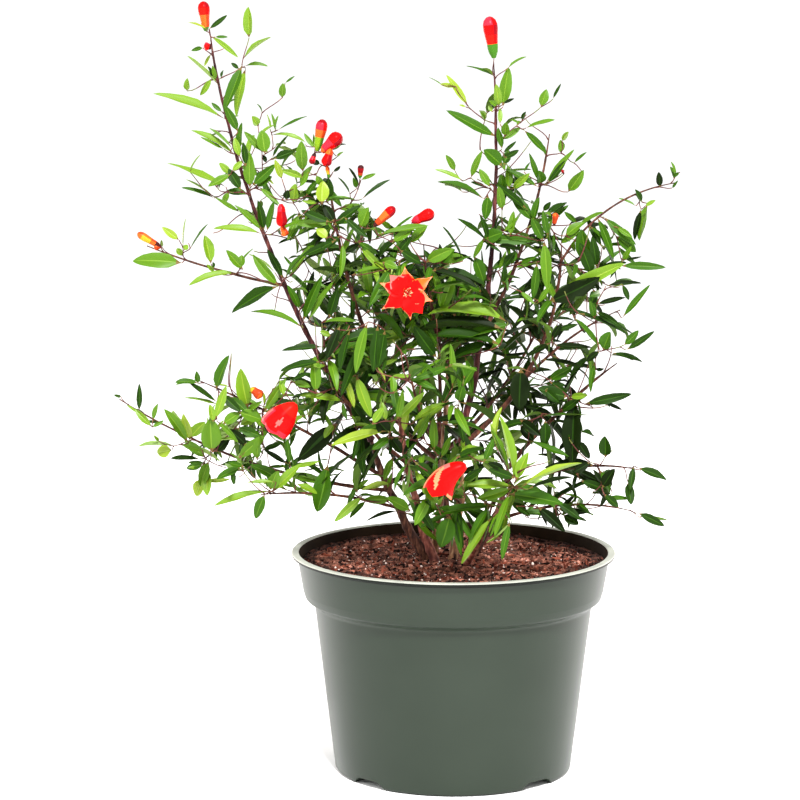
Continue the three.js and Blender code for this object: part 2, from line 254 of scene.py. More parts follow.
def soil_mix(name, deep, middle, pale, fleck):
    p = Pattern(name, 0.15)
    clods = p.noise(160, 6)
    fine = p.noise(900, 5)
    dark = p.ramp(clods, [(0.32, deep), (0.5, middle), (0.66, pale)])
    flecks = p.ramp(fine, [(0.58, (0, 0, 0)), (0.70, fleck)])
    colour = p.mix(1.0, dark, flecks, "ADD")
    return p.finish(colour, p.spread(fine, 0.75, 0.98), fine, 0.0012, 0.9)


def bark(name, deep, middle, pale):
    p = Pattern(name, 0.2)
    streaks = p.noise(420, 5, (1, 1, 0.22))
    blotches = p.noise(110, 4)
    pores = p.cells(700)
    base = p.ramp(streaks, [(0.3, deep), (0.52, middle), (0.72, pale)])
    shade = p.ramp(blotches, [(0.3, (150, 140, 140)), (0.7, (255, 250, 245))])
    colour = p.mix(1.0, base, shade, "MULTIPLY")
    height = p.mix(0.35, streaks, pores)
    return p.finish(colour, p.spread(streaks, 0.6, 0.9), height, 0.0006, 0.8)


# Leaf tones from the darkest to the youngest. The dark tones stand partly for older leaves and partly for
# painted shade in the crown.
LEAF_MATERIALS = [
    plain("leaf_deep", (14, 27, 2), 0.5, 0.07),
    plain("leaf_dark", (26, 52, 3), 0.48, 0.09),
    plain("leaf_mid", (46, 82, 5), 0.46, 0.12),
    plain("leaf_fresh", (72, 108, 12), 0.44, 0.18),
    plain("leaf_bright", (96, 128, 22), 0.42, 0.26),
    plain("leaf_young", (122, 144, 32), 0.42, 0.28),
    plain("leaf_under_dark", (38, 57, 15), 0.6, 0.07),
    plain("leaf_under_mid", (74, 100, 34), 0.6, 0.08),
    plain("leaf_under_pale", (124, 148, 76), 0.6, 0.1),
    plain("leaf_rib", (142, 164, 74), 0.5, 0.15),
    plain("leaf_stalk", (96, 76, 34), 0.5, 0.15),
]
# For each tone, the material of its underside and of its rib.
UNDER = [6, 6, 7, 7, 8, 8]
RIB = [1, 2, 3, 4, 5, 9]
STALK = 10
TWIG_MATERIALS = [
    plain("twig_brown", (54, 32, 26), 0.6, 0.2),
    plain("twig_red", (84, 40, 36), 0.55, 0.2),
    plain("twig_pink", (112, 70, 50), 0.5, 0.2),
    plain("twig_green", (92, 96, 40), 0.5, 0.2),
]
BLOSSOM_MATERIALS = [
    plain("petal_red", (196, 8, 8), 0.35, 0.05),
    plain("petal_scarlet", (200, 22, 12), 0.35, 0.04),
    plain("petal_pink", (190, 34, 50), 0.3, 0.1),
    plain("petal_orange", (206, 86, 26), 0.35, 0.1),
    plain("petal_peach", (222, 122, 84), 0.35, 0.1),
    plain("calyx_yellow", (170, 146, 30), 0.45, 0.1),
    plain("calyx_green", (56, 104, 22), 0.45, 0.1),
    plain("calyx_dark", (58, 16, 18), 0.45, 0.1),
    plain("stamen_pale", (214, 164, 124), 0.45, 0.1),
    plain("petal_dark", (128, 4, 14), 0.3, 0.08),
    plain("petal_rust", (160, 52, 16), 0.35, 0.1),
    plain("calyx_lime", (116, 150, 24), 0.45, 0.1),
    # A pale rose used only as a painted highlight: on the bell, the trumpet and one lobe of the open flower.
    plain("petal_rose_highlight", (182, 88, 82), 0.35, 0.1),
]
RED, SCARLET, PINK, ORANGE, PEACH, YELLOW, GREEN, MAROON, PALE, DARK, RUST, LIME, ROSE_HIGHLIGHT = range(13)
# What each of these becomes on the side of a bud that is turned from the light.
SHADED = [DARK, RED, RED, RUST, ORANGE, ORANGE, GREEN, MAROON, PALE, DARK, RUST, GREEN, PINK]


# ---------------------------------------------------------------- meshes
# The angle between two faces, in degrees, past which the edge between them shows as sharp.
CRUMB_SHARP, LEAF_SHARP, BLOSSOM_SHARP = 40, 55, 50


class Shape:
    """Vertices and faces that gather into one piece. A face row lists its corners in outward order."""

    def __init__(self):
        self.vertices = []
        self.faces = []
        self.slots = []
        self.count = 0

    def add(self, vertices, *face_sets):
        """face_sets are (faces, slots) pairs, in which slots is one material slot or one for each face."""
        vertices = np.asarray(vertices, float).reshape(-1, 3)
        for faces, slots in face_sets:
            faces = np.asarray(faces, np.int64)
            if len(faces):
                self.faces.append(faces + self.count)
                self.slots.append(np.broadcast_to(slots, len(faces)))
        self.vertices.append(vertices)
        self.count += len(vertices)

    def build(self, name, materials, sharp_degrees=None):
        mesh = bpy.data.meshes.new(name)
        points = np.concatenate(self.vertices) * MM
        corners = np.concatenate([f.ravel() for f in self.faces])
        sizes = np.concatenate([np.full(len(f), f.shape[1]) for f in self.faces])
        mesh.vertices.add(len(points))
        mesh.vertices.foreach_set("co", points.astype(np.float32).ravel())
        mesh.loops.add(len(corners))
        mesh.loops.foreach_set("vertex_index", corners.astype(np.int32))
        mesh.polygons.add(len(sizes))
        starts = np.concatenate([[0], np.cumsum(sizes)[:-1]])
        mesh.polygons.foreach_set("loop_start", starts.astype(np.int32))
        mesh.polygons.foreach_set("material_index", np.concatenate(self.slots).astype(np.int32))
        for material in materials:
            mesh.materials.append(material)
        mesh.update(calc_edges=True)
        mesh.shade_smooth()
        if sharp_degrees:
            mesh.set_sharp_from_angle(angle=math.radians(sharp_degrees))
        piece = bpy.data.objects.new(name, mesh)
        bpy.context.scene.collection.objects.link(piece)
        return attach(piece, "root")


def skin(rings, columns):
    """Quads between successive rings of a tube, and fans that close it to a first and a last point.

    The vertices are the first point, the rings one after another, and the last point.
    """
    k = np.arange(columns)
    after = (k + 1) % columns
    base = 1 + columns * np.arange(rings - 1)[:, None]
    quads = np.stack([base + k, base + after, base + columns + after, base + columns + k], axis=-1)
    last = 1 + columns * (rings - 1)
    start = np.stack([np.zeros_like(k), 1 + after, 1 + k], axis=-1)
    end = np.stack([last + k, last + after, np.full_like(k, last + columns)], axis=-1)
    return quads.reshape(-1, 4), np.concatenate([start, end])


def frames(points):
    """Tangents of a polyline, and two sideways directions that turn as little as they can along it."""
    ahead = unit(np.gradient(points, axis=0))
    side = square_to(UP if abs(ahead[0][2]) < 0.9 else np.array([1.0, 0, 0]), ahead[0])
    sides = []
    for direction in ahead:
        side = square_to(side, direction)
        sides.append(side)
    sides = np.array(sides)
    return ahead, sides, np.cross(ahead, sides)


def add_tube(shape, points, radii, sides, slot):
    """A closed tube along a polyline. radii holds one radius for each ring, or one for each corner."""
    ahead, across, over = frames(points)
    angle = 2 * np.pi * np.arange(sides) / sides
    radii = np.asarray(radii, float)
    if radii.ndim == 1:
        radii = np.repeat(radii[:, None], sides, axis=1)
    out = np.cos(angle)[None, :, None] * across[:, None] + np.sin(angle)[None, :, None] * over[:, None]
    rings = points[:, None] + radii[..., None] * out
    quads, fans = skin(len(points), sides)
    lift = radii.mean(axis=1) * 0.5
    first = points[0] - ahead[0] * lift[0]
    last = points[-1] + ahead[-1] * lift[-1]
    slots = np.repeat(slot, sides) if np.ndim(slot) else slot
    shape.add(np.vstack([first, rings.reshape(-1, 3), last]), (quads, slots), (fans, np.max(slot)))


FILLET_STEPS = 5


def fillet(corners):
    """A profile whose corners (radius, height, rounding) are rounded off."""
    profile = []
    for i, (r, z, rounding) in enumerate(corners):
        here = np.array([r, z])
        if not rounding:
            profile.append(here)
            continue
        before = np.array(corners[i - 1][:2]) - here
        after = np.array(corners[i + 1][:2]) - here
        b, a = unit(before), unit(after)
        half = math.acos(np.clip(b @ a, -1, 1)) / 2
        reach = min(rounding / math.tan(half), 0.48 * min(np.linalg.norm(before), np.linalg.norm(after)))
        radius = reach * math.tan(half)
        centre = here + unit(b + a) * radius / math.sin(half)
        for share in np.linspace(0, 1, FILLET_STEPS + 1):
            on_line = unit((b * reach + here - centre) * (1 - share) + (a * reach + here - centre) * share)
            profile.append(centre + on_line * radius)
    return np.array(profile)


def add_lathe(shape, profile, segments, slots):
    """Turns a profile about the Z axis. It starts and ends on the axis, and runs out along the underside."""
    angle = 2 * np.pi * np.arange(segments) / segments
    ring = np.stack([np.cos(angle), np.sin(angle)], axis=-1)
    inner = profile[1:-1]
    heights = np.broadcast_to(inner[:, None, 1:], (len(inner), segments, 1))
    rings = np.concatenate([inner[:, None, :1] * ring[None], heights], axis=-1)
    quads, fans = skin(len(inner), segments)
    first = [0, 0, profile[0][1]]
    last = [0, 0, profile[-1][1]]
    face_slots = np.repeat(slots, segments) if np.ndim(slots) else slots
    shape.add(np.vstack([first, rings.reshape(-1, 3), last]), (quads, face_slots), (fans, 0))


# ---------------------------------------------------------------- pot
POT_HEIGHT = 171.0
LIP_RADIUS = 125.0
BASE_RADIUS = 91.5
FLOOR = 5.6
POT_SEGMENTS = 176
SOIL_LEVEL = 163.0
DRAIN_ANGLES = [45, 135, 225, 315]
# Half of a notch in the foot, from its corner to the middle of its top: across, and height.
NOTCH_ARCH = [(19, -1), (16, 1.4), (12.5, 4.4), (9, 5.7)]
NOTCH_DEPTH = 17.0
NOTCH_TAPER = (0.42, 1.14)  # its height at its inner and outer end
HOLE_RADIUS = 6.0
HOLE_CIRCLE = 62.0
HOLE_SIDES = 32
LIP_EDGE_FROM = 165.5  # the painted shade line under the lip starts at this height
LIP_TOP = 0.7  # and the painted highlight on the lip's top takes in this much of its edge
FOOT_LINE = (1.3, 3.0)  # height and width of the painted shade line round the foot, where it meets the floor
# The pot's section as radius, height and rounding: under its foot, up its outside, and down its inside.
POT_SECTION = [
    (0, 0, 0), (34, 0, 0.8), (36.5, 2.5, 0.8), (76.5, 2.5, 0.8), (79, 0, 0.8), (BASE_RADIUS, 0, 3.0),
    (94.6, 26, 0), (99, 62, 0), (103.3, 98, 0), (107.4, 131, 5), (114.4, 135.6, 3.2), (116.2, 141.5, 3),
    (120.7, 167.6, 1.2), (LIP_RADIUS, 168.4, 0.9), (LIP_RADIUS, POT_HEIGHT, 1.1), (119.6, POT_HEIGHT, 0.9),
    (118.8, 168.0, 0.8), (114.0, 140.5, 3), (105.4, 132.5, 3), (89.5, 8, 4), (84.5, FLOOR, 0), (0, FLOOR, 0),
]


def add_notch(shape, angle):
    """A flat-topped arch that lies across the foot ring, long in the radial direction, lower inside."""
    along = np.array([math.cos(angle), math.sin(angle), 0])
    reach = np.array([BASE_RADIUS - NOTCH_DEPTH, BASE_RADIUS + 4])
    across = np.cross(UP, along)
    arch = np.array(NOTCH_ARCH + [(-x, z) for x, z in NOTCH_ARCH[::-1]])
    rings = []
    for r, height in zip(reach, NOTCH_TAPER):
        rings.append(along * r + arch[:, :1] * across + arch[:, 1:] * height * UP)
    quads, fans = skin(2, len(arch))
    shape.add(np.vstack([along * reach[0], *rings, along * reach[1]]), (quads, 0), (fans, 0))


def add_hole(shape, angle):
    centre = HOLE_CIRCLE * np.array([math.cos(angle), math.sin(angle), 0])
    points = centre + np.array([[0, 0, -3.0], [0, 0, 9.0]])
    add_tube(shape, points, [HOLE_RADIUS, HOLE_RADIUS], HOLE_SIDES, 0)


def make_cutter(name, add, degrees):
    """What add makes at an angle round the pot, as a piece to be cut from it."""
    shape = Shape()
    add(shape, math.radians(degrees))
    return shape.build(f"{name}_{degrees}", [])


def make_pot():
    profile = fillet(POT_SECTION)
    r, z = np.transpose((profile[1:-2] + profile[2:-1]) / 2)
    inner = np.arange(len(z)) > np.argmax(z)
    # Slot 3, the inside wall: dark brown, painted shade in the pot's hollow.
    slots = np.where(inner, 3, 0)
    # Slot 2: painted shade under the lip's overhang.
    slots[(z > LIP_EDGE_FROM) & ~inner] = 2
    # Slot 1, the lip's top: a painted highlight where the lip catches the light.
    slots[z > POT_HEIGHT - LIP_TOP] = 1
    # Slot 2 again: a painted shade line round the foot, where it meets the floor.
    slots[(z < FOOT_LINE[0]) & (r > BASE_RADIUS - FOOT_LINE[1])] = 2
    looks = [
        plastic("pot_plastic", (35, 44, 34), (41, 50, 40), 0.22, (0.3, 0.4), (9, 3, 0.3)),
        # The lip's pale grey is a painted highlight, not a colour of the plastic.
        plastic("pot_lip", (146, 148, 138), (166, 168, 156)),
        # Nearly black plastic for the painted shade under the lip and round the foot.
        plastic("pot_painted_shade", (12, 16, 12), (18, 23, 17), 0.15),
        plastic("pot_inside_painted_shade", (24, 16, 10), (38, 27, 17), 0.05, (0.8, 0.95)),
    ]
    shape = Shape()
    add_lathe(shape, profile, POT_SEGMENTS, slots)
    pot = shape.build("pot_shell", looks, 40)
    cutters = []
    for degrees in DRAIN_ANGLES:
        for name, add in (("notch", add_notch), ("hole", add_hole)):
            cutter = make_cutter(name, add, degrees)
            cutters.append(cutter)
            cut = pot.modifiers.new(cutter.name, "BOOLEAN")
            cut.object = cutter
            cut.operation = "DIFFERENCE"
            cut.solver = "EXACT"
    bpy.context.view_layer.update()
    depsgraph = bpy.context.evaluated_depsgraph_get()
    cut_mesh = bpy.data.meshes.new_from_object(pot.evaluated_get(depsgraph))
    pot.modifiers.clear()
    pot.data = cut_mesh
    pot.data.shade_smooth()
    pot.data.set_sharp_from_angle(angle=math.radians(35))
    for cutter in cutters:
        bpy.data.objects.remove(cutter)
    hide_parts("pot")


# ---------------------------------------------------------------- soil
SOIL_SEGMENTS = 400
SOIL_RINGS = 112
SOIL_EDGE = 117.3
SOIL_FOOT = FLOOR + 0.4
SOIL_WALL = [(84.0, SOIL_FOOT), (89.0, 9.0), (105.2, 132.7), (113.5, 140.6), (117.2, 161.5)]
SOIL_BUMPS = [(2.3, 26), (1.5, 11), (0.8, 5), (0.45, 2.4)]  # height and breadth of the clods and grains
PAINTED_SHADE_RADIUS = 108.0  # past it the soil is darker: painted shade under the pot's wall
# Past this, pale crumbs are made dark as painted shade.
CRUMB_SHADE_RADIUS = 104.0
FRONT_SHADE_REACH = 26.0  # how much nearer the middle that painted shade begins at the front
MOUND = (2.2, 45)  # height and breadth of the mound at the stems
SETTLED = 0.8  # how far the soil lies under its level
CALM = (100, 17, 0.45)  # where it grows flatter towards the wall, over which breadth and by which share
CRUMBS = 3600
CRUMB_REACH = 115.5
WHITE_CRUMB = 4
CHIPS = 260
CHIP_REACH = 113


def soil_height(x, y):
    """Height of the soil's surface: a low mound at the stems, clods and grains."""
    p = np.stack([x, y, np.zeros_like(x)], axis=-1)
    r = np.hypot(x, y)
    height = MOUND[0] * np.exp(-((r / MOUND[1]) ** 2)) - SETTLED
    for seed, (rise, breadth) in enumerate(SOIL_BUMPS, 1):
        height = height + rise * noise(p, breadth, seed)
    near_wall = np.clip((r - CALM[0]) / CALM[1], 0, 1)
    return SOIL_LEVEL + height * (1 - CALM[2] * near_wall)


def shade_reach(x, y):
    """How far out a point counts as lying, for the painted shade near the wall."""
    return np.hypot(x, y) + FRONT_SHADE_REACH * np.clip(-y / 80, 0, 1)


def make_soil():
    angle = 2 * np.pi * np.arange(SOIL_SEGMENTS) / SOIL_SEGMENTS
    direction = np.stack([np.cos(angle), np.sin(angle), 0 * angle], axis=-1)
    rings = [direction * r + UP * z for r, z in SOIL_WALL]
    for r in SOIL_EDGE * np.sqrt(np.linspace(1, 0.0004, SOIL_RINGS)):
        ring = direction * r
        ring[:, 2] = soil_height(ring[:, 0], ring[:, 1])
        rings.append(ring)
    top = soil_height(np.zeros(1), np.zeros(1))[0]
    quads, fans = skin(len(rings), SOIL_SEGMENTS)
    shape = Shape()
    points = np.vstack([[0, 0, SOIL_FOOT], *rings, [0, 0, top]])
    corner = points[quads[:, 0]]
    reach = shade_reach(corner[:, 0], corner[:, 1]) + 6 * noise(corner, 16, 7)
    # Faces far enough out take a darker soil: painted shade under the pot's wall, which reaches further in at
    # the front.
    shape.add(points, (quads, np.where(reach > PAINTED_SHADE_RADIUS, 1, 0)), (fans, 0))
    looks = [
        soil_mix("soil_mix", (22, 11, 8), (86, 48, 36), (164, 102, 82), (160, 112, 96)),
        # A darker copy of the soil mix, for the painted shade near the wall.
        soil_mix("soil_painted_shade", (16, 9, 6), (50, 28, 21), (104, 62, 50), (90, 60, 50)),
    ]
    soil = shape.build("soil_bed", looks)
    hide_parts("soil")


ICO_RATIO = (1 + math.sqrt(5)) / 2
ICO_POINTS = unit(
    [
        (-1, ICO_RATIO, 0), (1, ICO_RATIO, 0), (-1, -ICO_RATIO, 0), (1, -ICO_RATIO, 0),
        (0, -1, ICO_RATIO), (0, 1, ICO_RATIO), (0, -1, -ICO_RATIO), (0, 1, -ICO_RATIO),
        (ICO_RATIO, 0, -1), (ICO_RATIO, 0, 1), (-ICO_RATIO, 0, -1), (-ICO_RATIO, 0, 1),
    ]
)
ICO_FACES = np.array(
    [
        (0, 11, 5), (0, 5, 1), (0, 1, 7), (0, 7, 10), (0, 10, 11),
        (1, 5, 9), (5, 11, 4), (11, 10, 2), (10, 7, 6), (7, 1, 8),
        (3, 9, 4), (3, 4, 2), (3, 2, 6), (3, 6, 8), (3, 8, 9),
        (4, 9, 5), (2, 4, 11), (6, 2, 10), (8, 6, 7), (9, 8, 1),
    ]
)


def add_lumps(shape, centres, sizes, slots, rng):
    """Uneven stones and crumbs, each a distorted icosahedron of its own three sizes and turn."""
    count = len(centres)
    turn = np.linalg.qr(rng.normal(size=(count, 3, 3)))[0]
    turn[np.linalg.det(turn) < 0] *= -1
    bumps = rng.uniform(0.72, 1.18, (count, len(ICO_POINTS), 1))
    points = ICO_POINTS[None] * bumps * sizes[:, None]
    points = np.einsum("cij,cvj->cvi", turn, points) + centres[:, None]
    faces = ICO_FACES[None] + len(ICO_POINTS) * np.arange(count)[:, None, None]
    shape.add(points, (faces.reshape(-1, 3), np.repeat(slots, len(ICO_FACES))))


def strew(count, reach, rng):
    """Random places spread evenly over the soil, as far out as reach."""
    angle = rng.uniform(0, 2 * np.pi, count)
    r = reach * np.sqrt(rng.uniform(0, 1, count))
    return r * np.cos(angle), r * np.sin(angle)


def make_crumbs():
    """Crumbs of five colours, of which the white ones are the smallest, and long splinters."""
    rng = np.random.default_rng([SEED, CRUMB_DRAWS])
    shape = Shape()
    x, y = strew(CRUMBS, CRUMB_REACH, rng)
    size = 0.42 + 1.25 * rng.uniform(0, 1, CRUMBS) ** 3
    z = soil_height(x, y) + size * rng.uniform(-0.1, 0.5, CRUMBS)
    sizes = size[:, None] * rng.uniform(0.65, 1.25, (CRUMBS, 3))
    slots = rng.choice(5, CRUMBS, p=[0.36, 0.24, 0.15, 0.13, 0.12])
    sizes[slots == WHITE_CRUMB] *= 0.62
    # Near the wall, pale crumbs take the dark colour: painted shade.
    slots[(shade_reach(x, y) > CRUMB_SHADE_RADIUS) & (slots > 1)] = 0
    add_lumps(shape, np.stack([x, y, z], axis=-1), sizes, slots, rng)
    x, y = strew(CHIPS, CHIP_REACH, rng)
    z = soil_height(x, y) + 0.5
    sizes = rng.uniform(0.35, 0.8, (CHIPS, 1)) * np.array([1.0, 1.6, 6.5])
    chip_slots = rng.choice([0, 1, 2], CHIPS, p=[0.4, 0.4, 0.2])
    add_lumps(shape, np.stack([x, y, z], axis=-1), sizes, chip_slots, rng)
    materials = [
        plain("crumb_dark", (26, 12, 9), 0.95, 0.1),
        plain("crumb_red", (74, 34, 24), 0.95, 0.1),
        plain("crumb_rust", (126, 66, 50), 0.95, 0.1),
        plain("crumb_tan", (186, 128, 110), 0.95, 0.1),
        plain("crumb_white", (236, 216, 206), 0.9, 0.1),
    ]
    crumbs = shape.build("soil_crumbs", materials, CRUMB_SHARP)


# ---------------------------------------------------------------- limbs
# Aims and lengths, of all limbs but arm_left_high, are what a scratch script worked out from end points read
# off the photograph and from depths that were guessed. part.mjs holds the same rows.
# Stems: foot on the soil, aim as heading from +X towards +Y and rise above level in degrees, length, bow
# (how far the middle lies above the straight line, or below it if negative), and the radii at foot and tip.
STEMS = {
    "stem_left": ((-19, 2), (-170, 65), 105, -4, (4.4, 3)),
    "stem_middle": ((-14, -9), (149, 75), 127, -5, (4.2, 2.8)),
    "stem_young": ((-15, 12), (-69, 80), 155, -5, (3, 2.2)),
    "stem_right": ((-1, -7), (46, 84), 93, -4, (4.6, 3.4)),
    "stem_outer": ((13, 6), (12, 67), 77, -5, (4.4, 2.8)),
    "stem_rear": ((2, 17), (110, 64), 85, -5, (4.2, 2.8)),
    "stem_front": ((9, -19), (-65, 49), 73, -4, (3.4, 2.3)),
}
# Leaders and boughs: the limb each one leaves and at which share of its length, then as for the stems.
BOUGHS = {
    "leader_left": (("stem_left", 1), (-177, 69), 343, -20, (3, 0.9)),
    "leader_right": (("stem_right", 1), (24, 85), 298, -12, (3.3, 0.9)),
    "bough_bud_cluster": (("stem_middle", 1), (-149, 72), 206, -12, (2.5, 0.8)),
    "bough_centre_top": (("stem_young", 1), (-130, 76), 116, -6, (2, 0.8)),
    "bough_second_spire": (("leader_right", 0.28), (27, 71), 185, -12, (2, 0.8)),
    "bough_right_outer": (("stem_right", 0.97), (13, 63), 172, -22, (2.5, 1.2)),
    "arm_right_high": (("bough_right_outer", 0.93), (-1, 35), 108, 13, (1.2, 0.7)),
    "arm_right_middle": (("bough_right_outer", 0.3), (-26, 38), 121, 8, (1.6, 0.7)),
    "bough_right_side": (("stem_outer", 1), (-3, 43), 146, 6, (2.1, 0.8)),
    "arm_right_low": (("stem_outer", 0.72), (-13, 10), 123, 14, (1.8, 0.7)),
    "arm_right_lowest": (("stem_outer", 0.42), (14, -1), 133, 13, (1.7, 0.7)),
    "arm_front_right": (("stem_front", 1), (-67, 30), 82, 6, (2, 0.8)),
    "arm_left_high": (("leader_left", 0.395), (-170, 17), 109, -2.5, (1.4, 0.7)),
    "arm_left_low": (("stem_left", 0.7), (-165, 29), 171, 4, (1.9, 0.7)),
    "arm_left_lowest": (("stem_left", 0.6), (176, 18), 221, -14, (1.9, 0.7)),
    "arm_left_front": (("stem_left", 0.45), (-150, 8), 147, 8, (1.6, 0.7)),
    "bough_left_shoulder": (("stem_middle", 0.62), (-136, 47), 165, -8, (2, 0.8)),
    "bough_front_centre": (("stem_young", 0.55), (-104, 40), 150, -10, (2, 0.8)),
    "arm_front_low": (("stem_front", 0.5), (-115, 36), 115, 6, (1.7, 0.8)),
    "bough_rear_left": (("stem_rear", 0.9), (142, 45), 178, -14, (2.3, 0.8)),
    "bough_rear_right": (("stem_rear", 0.97), (42, 45), 177, -14, (2.3, 0.8)),
    "bough_rear_centre": (("stem_rear", 1), (91, 75), 175, -8, (2.3, 0.8)),
    "arm_rear_low": (("stem_rear", 0.55), (90, 9), 129, 10, (1.8, 0.8)),
}
# The share of its length at which a limb's wood ends, where leaves alone show beyond.
BARE_ENDS = {
    "leader_left": 0.98, "leader_right": 0.98, "bough_centre_top": 0.86, "bough_second_spire": 0.88,
    "bough_right_side": 0.8, "arm_right_middle": 0.95, "arm_right_low": 0.9, "arm_right_lowest": 0.84,
    "arm_front_right": 0.9, "arm_left_low": 0.97, "arm_left_front": 0.82, "bough_left_shoulder": 0.82,
    "bough_rear_left": 0.8, "bough_rear_right": 0.95, "bough_rear_centre": 0.87,
}
# A limb's thickness as a share of its CAD solid's, where that isn't USUAL_SLIMMED.
USUAL_SLIMMED = 0.8
SLIMMED = {"stem_right": 0.7, "stem_outer": 0.62, "stem_front": 0.66, "stem_middle": 0.72, "stem_rear": 0.7}
STEM_BURIED = 5.0
ROOT_FLARE = 0.3
STEM_MESH = (1.3, 22)  # the step between rings of a stem and their sides
BOUGH_MESH = (2.2, 14)
LEAST_LIMB = 0.42
COLLAR = 0.3  # how much thicker a bough is where it leaves its limb
KNUCKLE = (0.13, 1.6)  # how far a knuckle swells and how long it is
KNUCKLES_APART = (9, 17)
THINNING = 20.0  # how much of a limb's end thins out
STRAYS = 2.5  # how far a CAD limb's surface may lie from where its curve and radius put it
PATHS = {}


def heading(aim):
    turn, rise = np.radians(aim)
    return np.array([math.cos(turn) * math.cos(rise), math.sin(turn) * math.cos(rise), math.sin(rise)])


def on_limb(name, t):
    """A point of a limb's centre line, or of its straight continuation past the tip."""
    foot, middle, tip, length = PATHS[name]
    inside = min(t, 1)
    point = (1 - inside) ** 2 * foot + 2 * inside * (1 - inside) * middle + inside**2 * tip
    return point + unit(tip - middle) * max(t - 1, 0) * length


def lay_limbs():
    for name, (start, aim, length, bow, _) in {**STEMS, **BOUGHS}.items():
        foot = np.array([*start, SOIL_LEVEL], float) if name in STEMS else on_limb(*start)
        along = heading(aim)
        above = np.cross(unit(np.cross(along, UP)), along)
        tip = foot + along * length
        middle = (foot + tip) / 2 + above * 2 * bow
        PATHS[name] = (foot, middle, tip, length)


def check_limbs():
    """Stops the script if a limb's curve isn't the one its CAD solid follows."""
    for name, row in {**STEMS, **BOUGHS}.items():
        line = np.array([on_limb(name, t) for t in np.linspace(0, 1, 200)])
        solid = np.array([v.co for v in NODES[name].data.vertices]) / MM
        away = np.linalg.norm(solid[:, None] - line[None], axis=-1).min(axis=1)
        if away.max() > row[4][0] * (1 + ROOT_FLARE) + STRAYS + STEM_BURIED * (name in STEMS):
            raise ValueError(f"{name} has left its CAD solid by {away.max():.1f} mm")


def limb_radius(name, t):
    row = STEMS.get(name) or BOUGHS[name]
    thick, thin = row[4]
    return thick + (thin - thick) * t


def add_limb(shape, name, reach, rng):
    """A limb with its bark: knuckles at the nodes, ridges along it, a flared foot."""
    is_stem = name in STEMS
    length = PATHS[name][3]
    step, sides = STEM_MESH if is_stem else BOUGH_MESH
    t = np.linspace(-STEM_BURIED / length if is_stem else 0, reach, int(length * reach / step))
    points = np.array([on_limb(name, max(x, 0)) for x in t])
    points[:, 2] += np.minimum(t, 0) * length
    s = t * length
    drift = np.stack([noise(np.stack([s, 0 * s + k * 77, 0 * s], -1), 24, 5 + k) for k in range(3)], -1)
    points = points + drift * np.minimum(limb_radius(name, t) * 0.35, 1.1)[:, None] * (t > 0.03)[:, None]
    radius = limb_radius(name, np.maximum(t, 0)) * SLIMMED.get(name, USUAL_SLIMMED)
    if is_stem:
        radius = radius * (1 + ROOT_FLARE * np.exp(-5 * np.maximum(t, 0)))
    else:
        radius = radius * (1 + COLLAR * np.exp(-s / 4))
    knuckles = np.cumsum(rng.uniform(*KNUCKLES_APART, int(length * reach / KNUCKLES_APART[0]) + 1))
    swell, breadth = KNUCKLE
    for at in knuckles[knuckles < length * reach]:
        radius = radius * (1 + swell * np.exp(-(((s - at) / breadth) ** 2)))
    end = np.clip((reach * length - s) / THINNING, 0, 1)
    radius = np.maximum(radius * (0.45 + 0.55 * end), LEAST_LIMB)
    angle = 2 * np.pi * np.arange(sides) / sides
    wrap = np.stack(np.broadcast_arrays(1.9 * np.cos(angle), 1.9 * np.sin(angle), s[:, None] / 9), -1)
    ridges = 0.075 * noise(wrap, 0.62, 11) + 0.05 * noise(wrap * np.array([1, 1, 4]), 0.9, 12)
    lobes = 0.10 * noise(wrap * np.array([1, 1, 0.35]), 1.6, 13) if is_stem else 0
    add_tube(shape, points, radius[:, None] * (1 + ridges + lobes), sides, 0)


def make_limbs():
    rng = np.random.default_rng([SEED, LIMB_DRAWS])
    looks = {
        "stems_dark": (("stem_left", "stem_outer", "stem_rear"), (40, 22, 17), (84, 50, 38), (142, 98, 76)),
        "stems_red": (("stem_middle", "stem_front"), (76, 36, 32), (138, 78, 66), (192, 126, 108)),
        "stems_pale": (("stem_young", "stem_right"), (84, 54, 38), (150, 108, 78), (206, 168, 130)),
        "leaders": (("leader_left", "leader_right"), (38, 14, 20), (80, 36, 38), (122, 68, 60)),
    }
    placed = [name for row in looks.values() for name in row[0]]
    rest = tuple(name for name in BOUGHS if name not in placed)
    looks["boughs"] = (rest, (50, 26, 20), (92, 52, 38), (136, 88, 64))
    for look, (names, *colours) in looks.items():
        shape = Shape()
        for name in names:
            add_limb(shape, name, BARE_ENDS.get(name, 1.0), rng)
        piece = shape.build(look, [bark(f"bark_{look}", *colours)])
        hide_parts(*names)


# ---------------------------------------------------------------- leaves
# A leaf's outline from its stalk to its tip, as half-widths at shares of its length.
STATIONS = np.array([0.05, 0.12, 0.25, 0.43, 0.62, 0.80, 0.93])
HALF_WIDTHS = np.array([0.10, 0.32, 0.78, 1.0, 0.95, 0.68, 0.34])
TOP_COLUMNS = np.array([-1, -0.5, -0.08, 0.08, 0.5, 1])
BULGE = np.array([0, 0.13, 0, 0, 0.13, 0])
BLADE_THICKNESS = 0.2
SAMPLE_STATIONS = np.linspace(0.1, 1, 10)
SAMPLE_MARGINS = np.array([-0.8, 0.0, 0.8])
LEAF_SIDES = len(TOP_COLUMNS) + 1
LEAF_POINTS = len(STATIONS) * LEAF_SIDES + 2
UNDERSIDE_FROM, RIB_STRIP = 5, 2  # from which of a leaf's strips on it is underside, and which is its rib


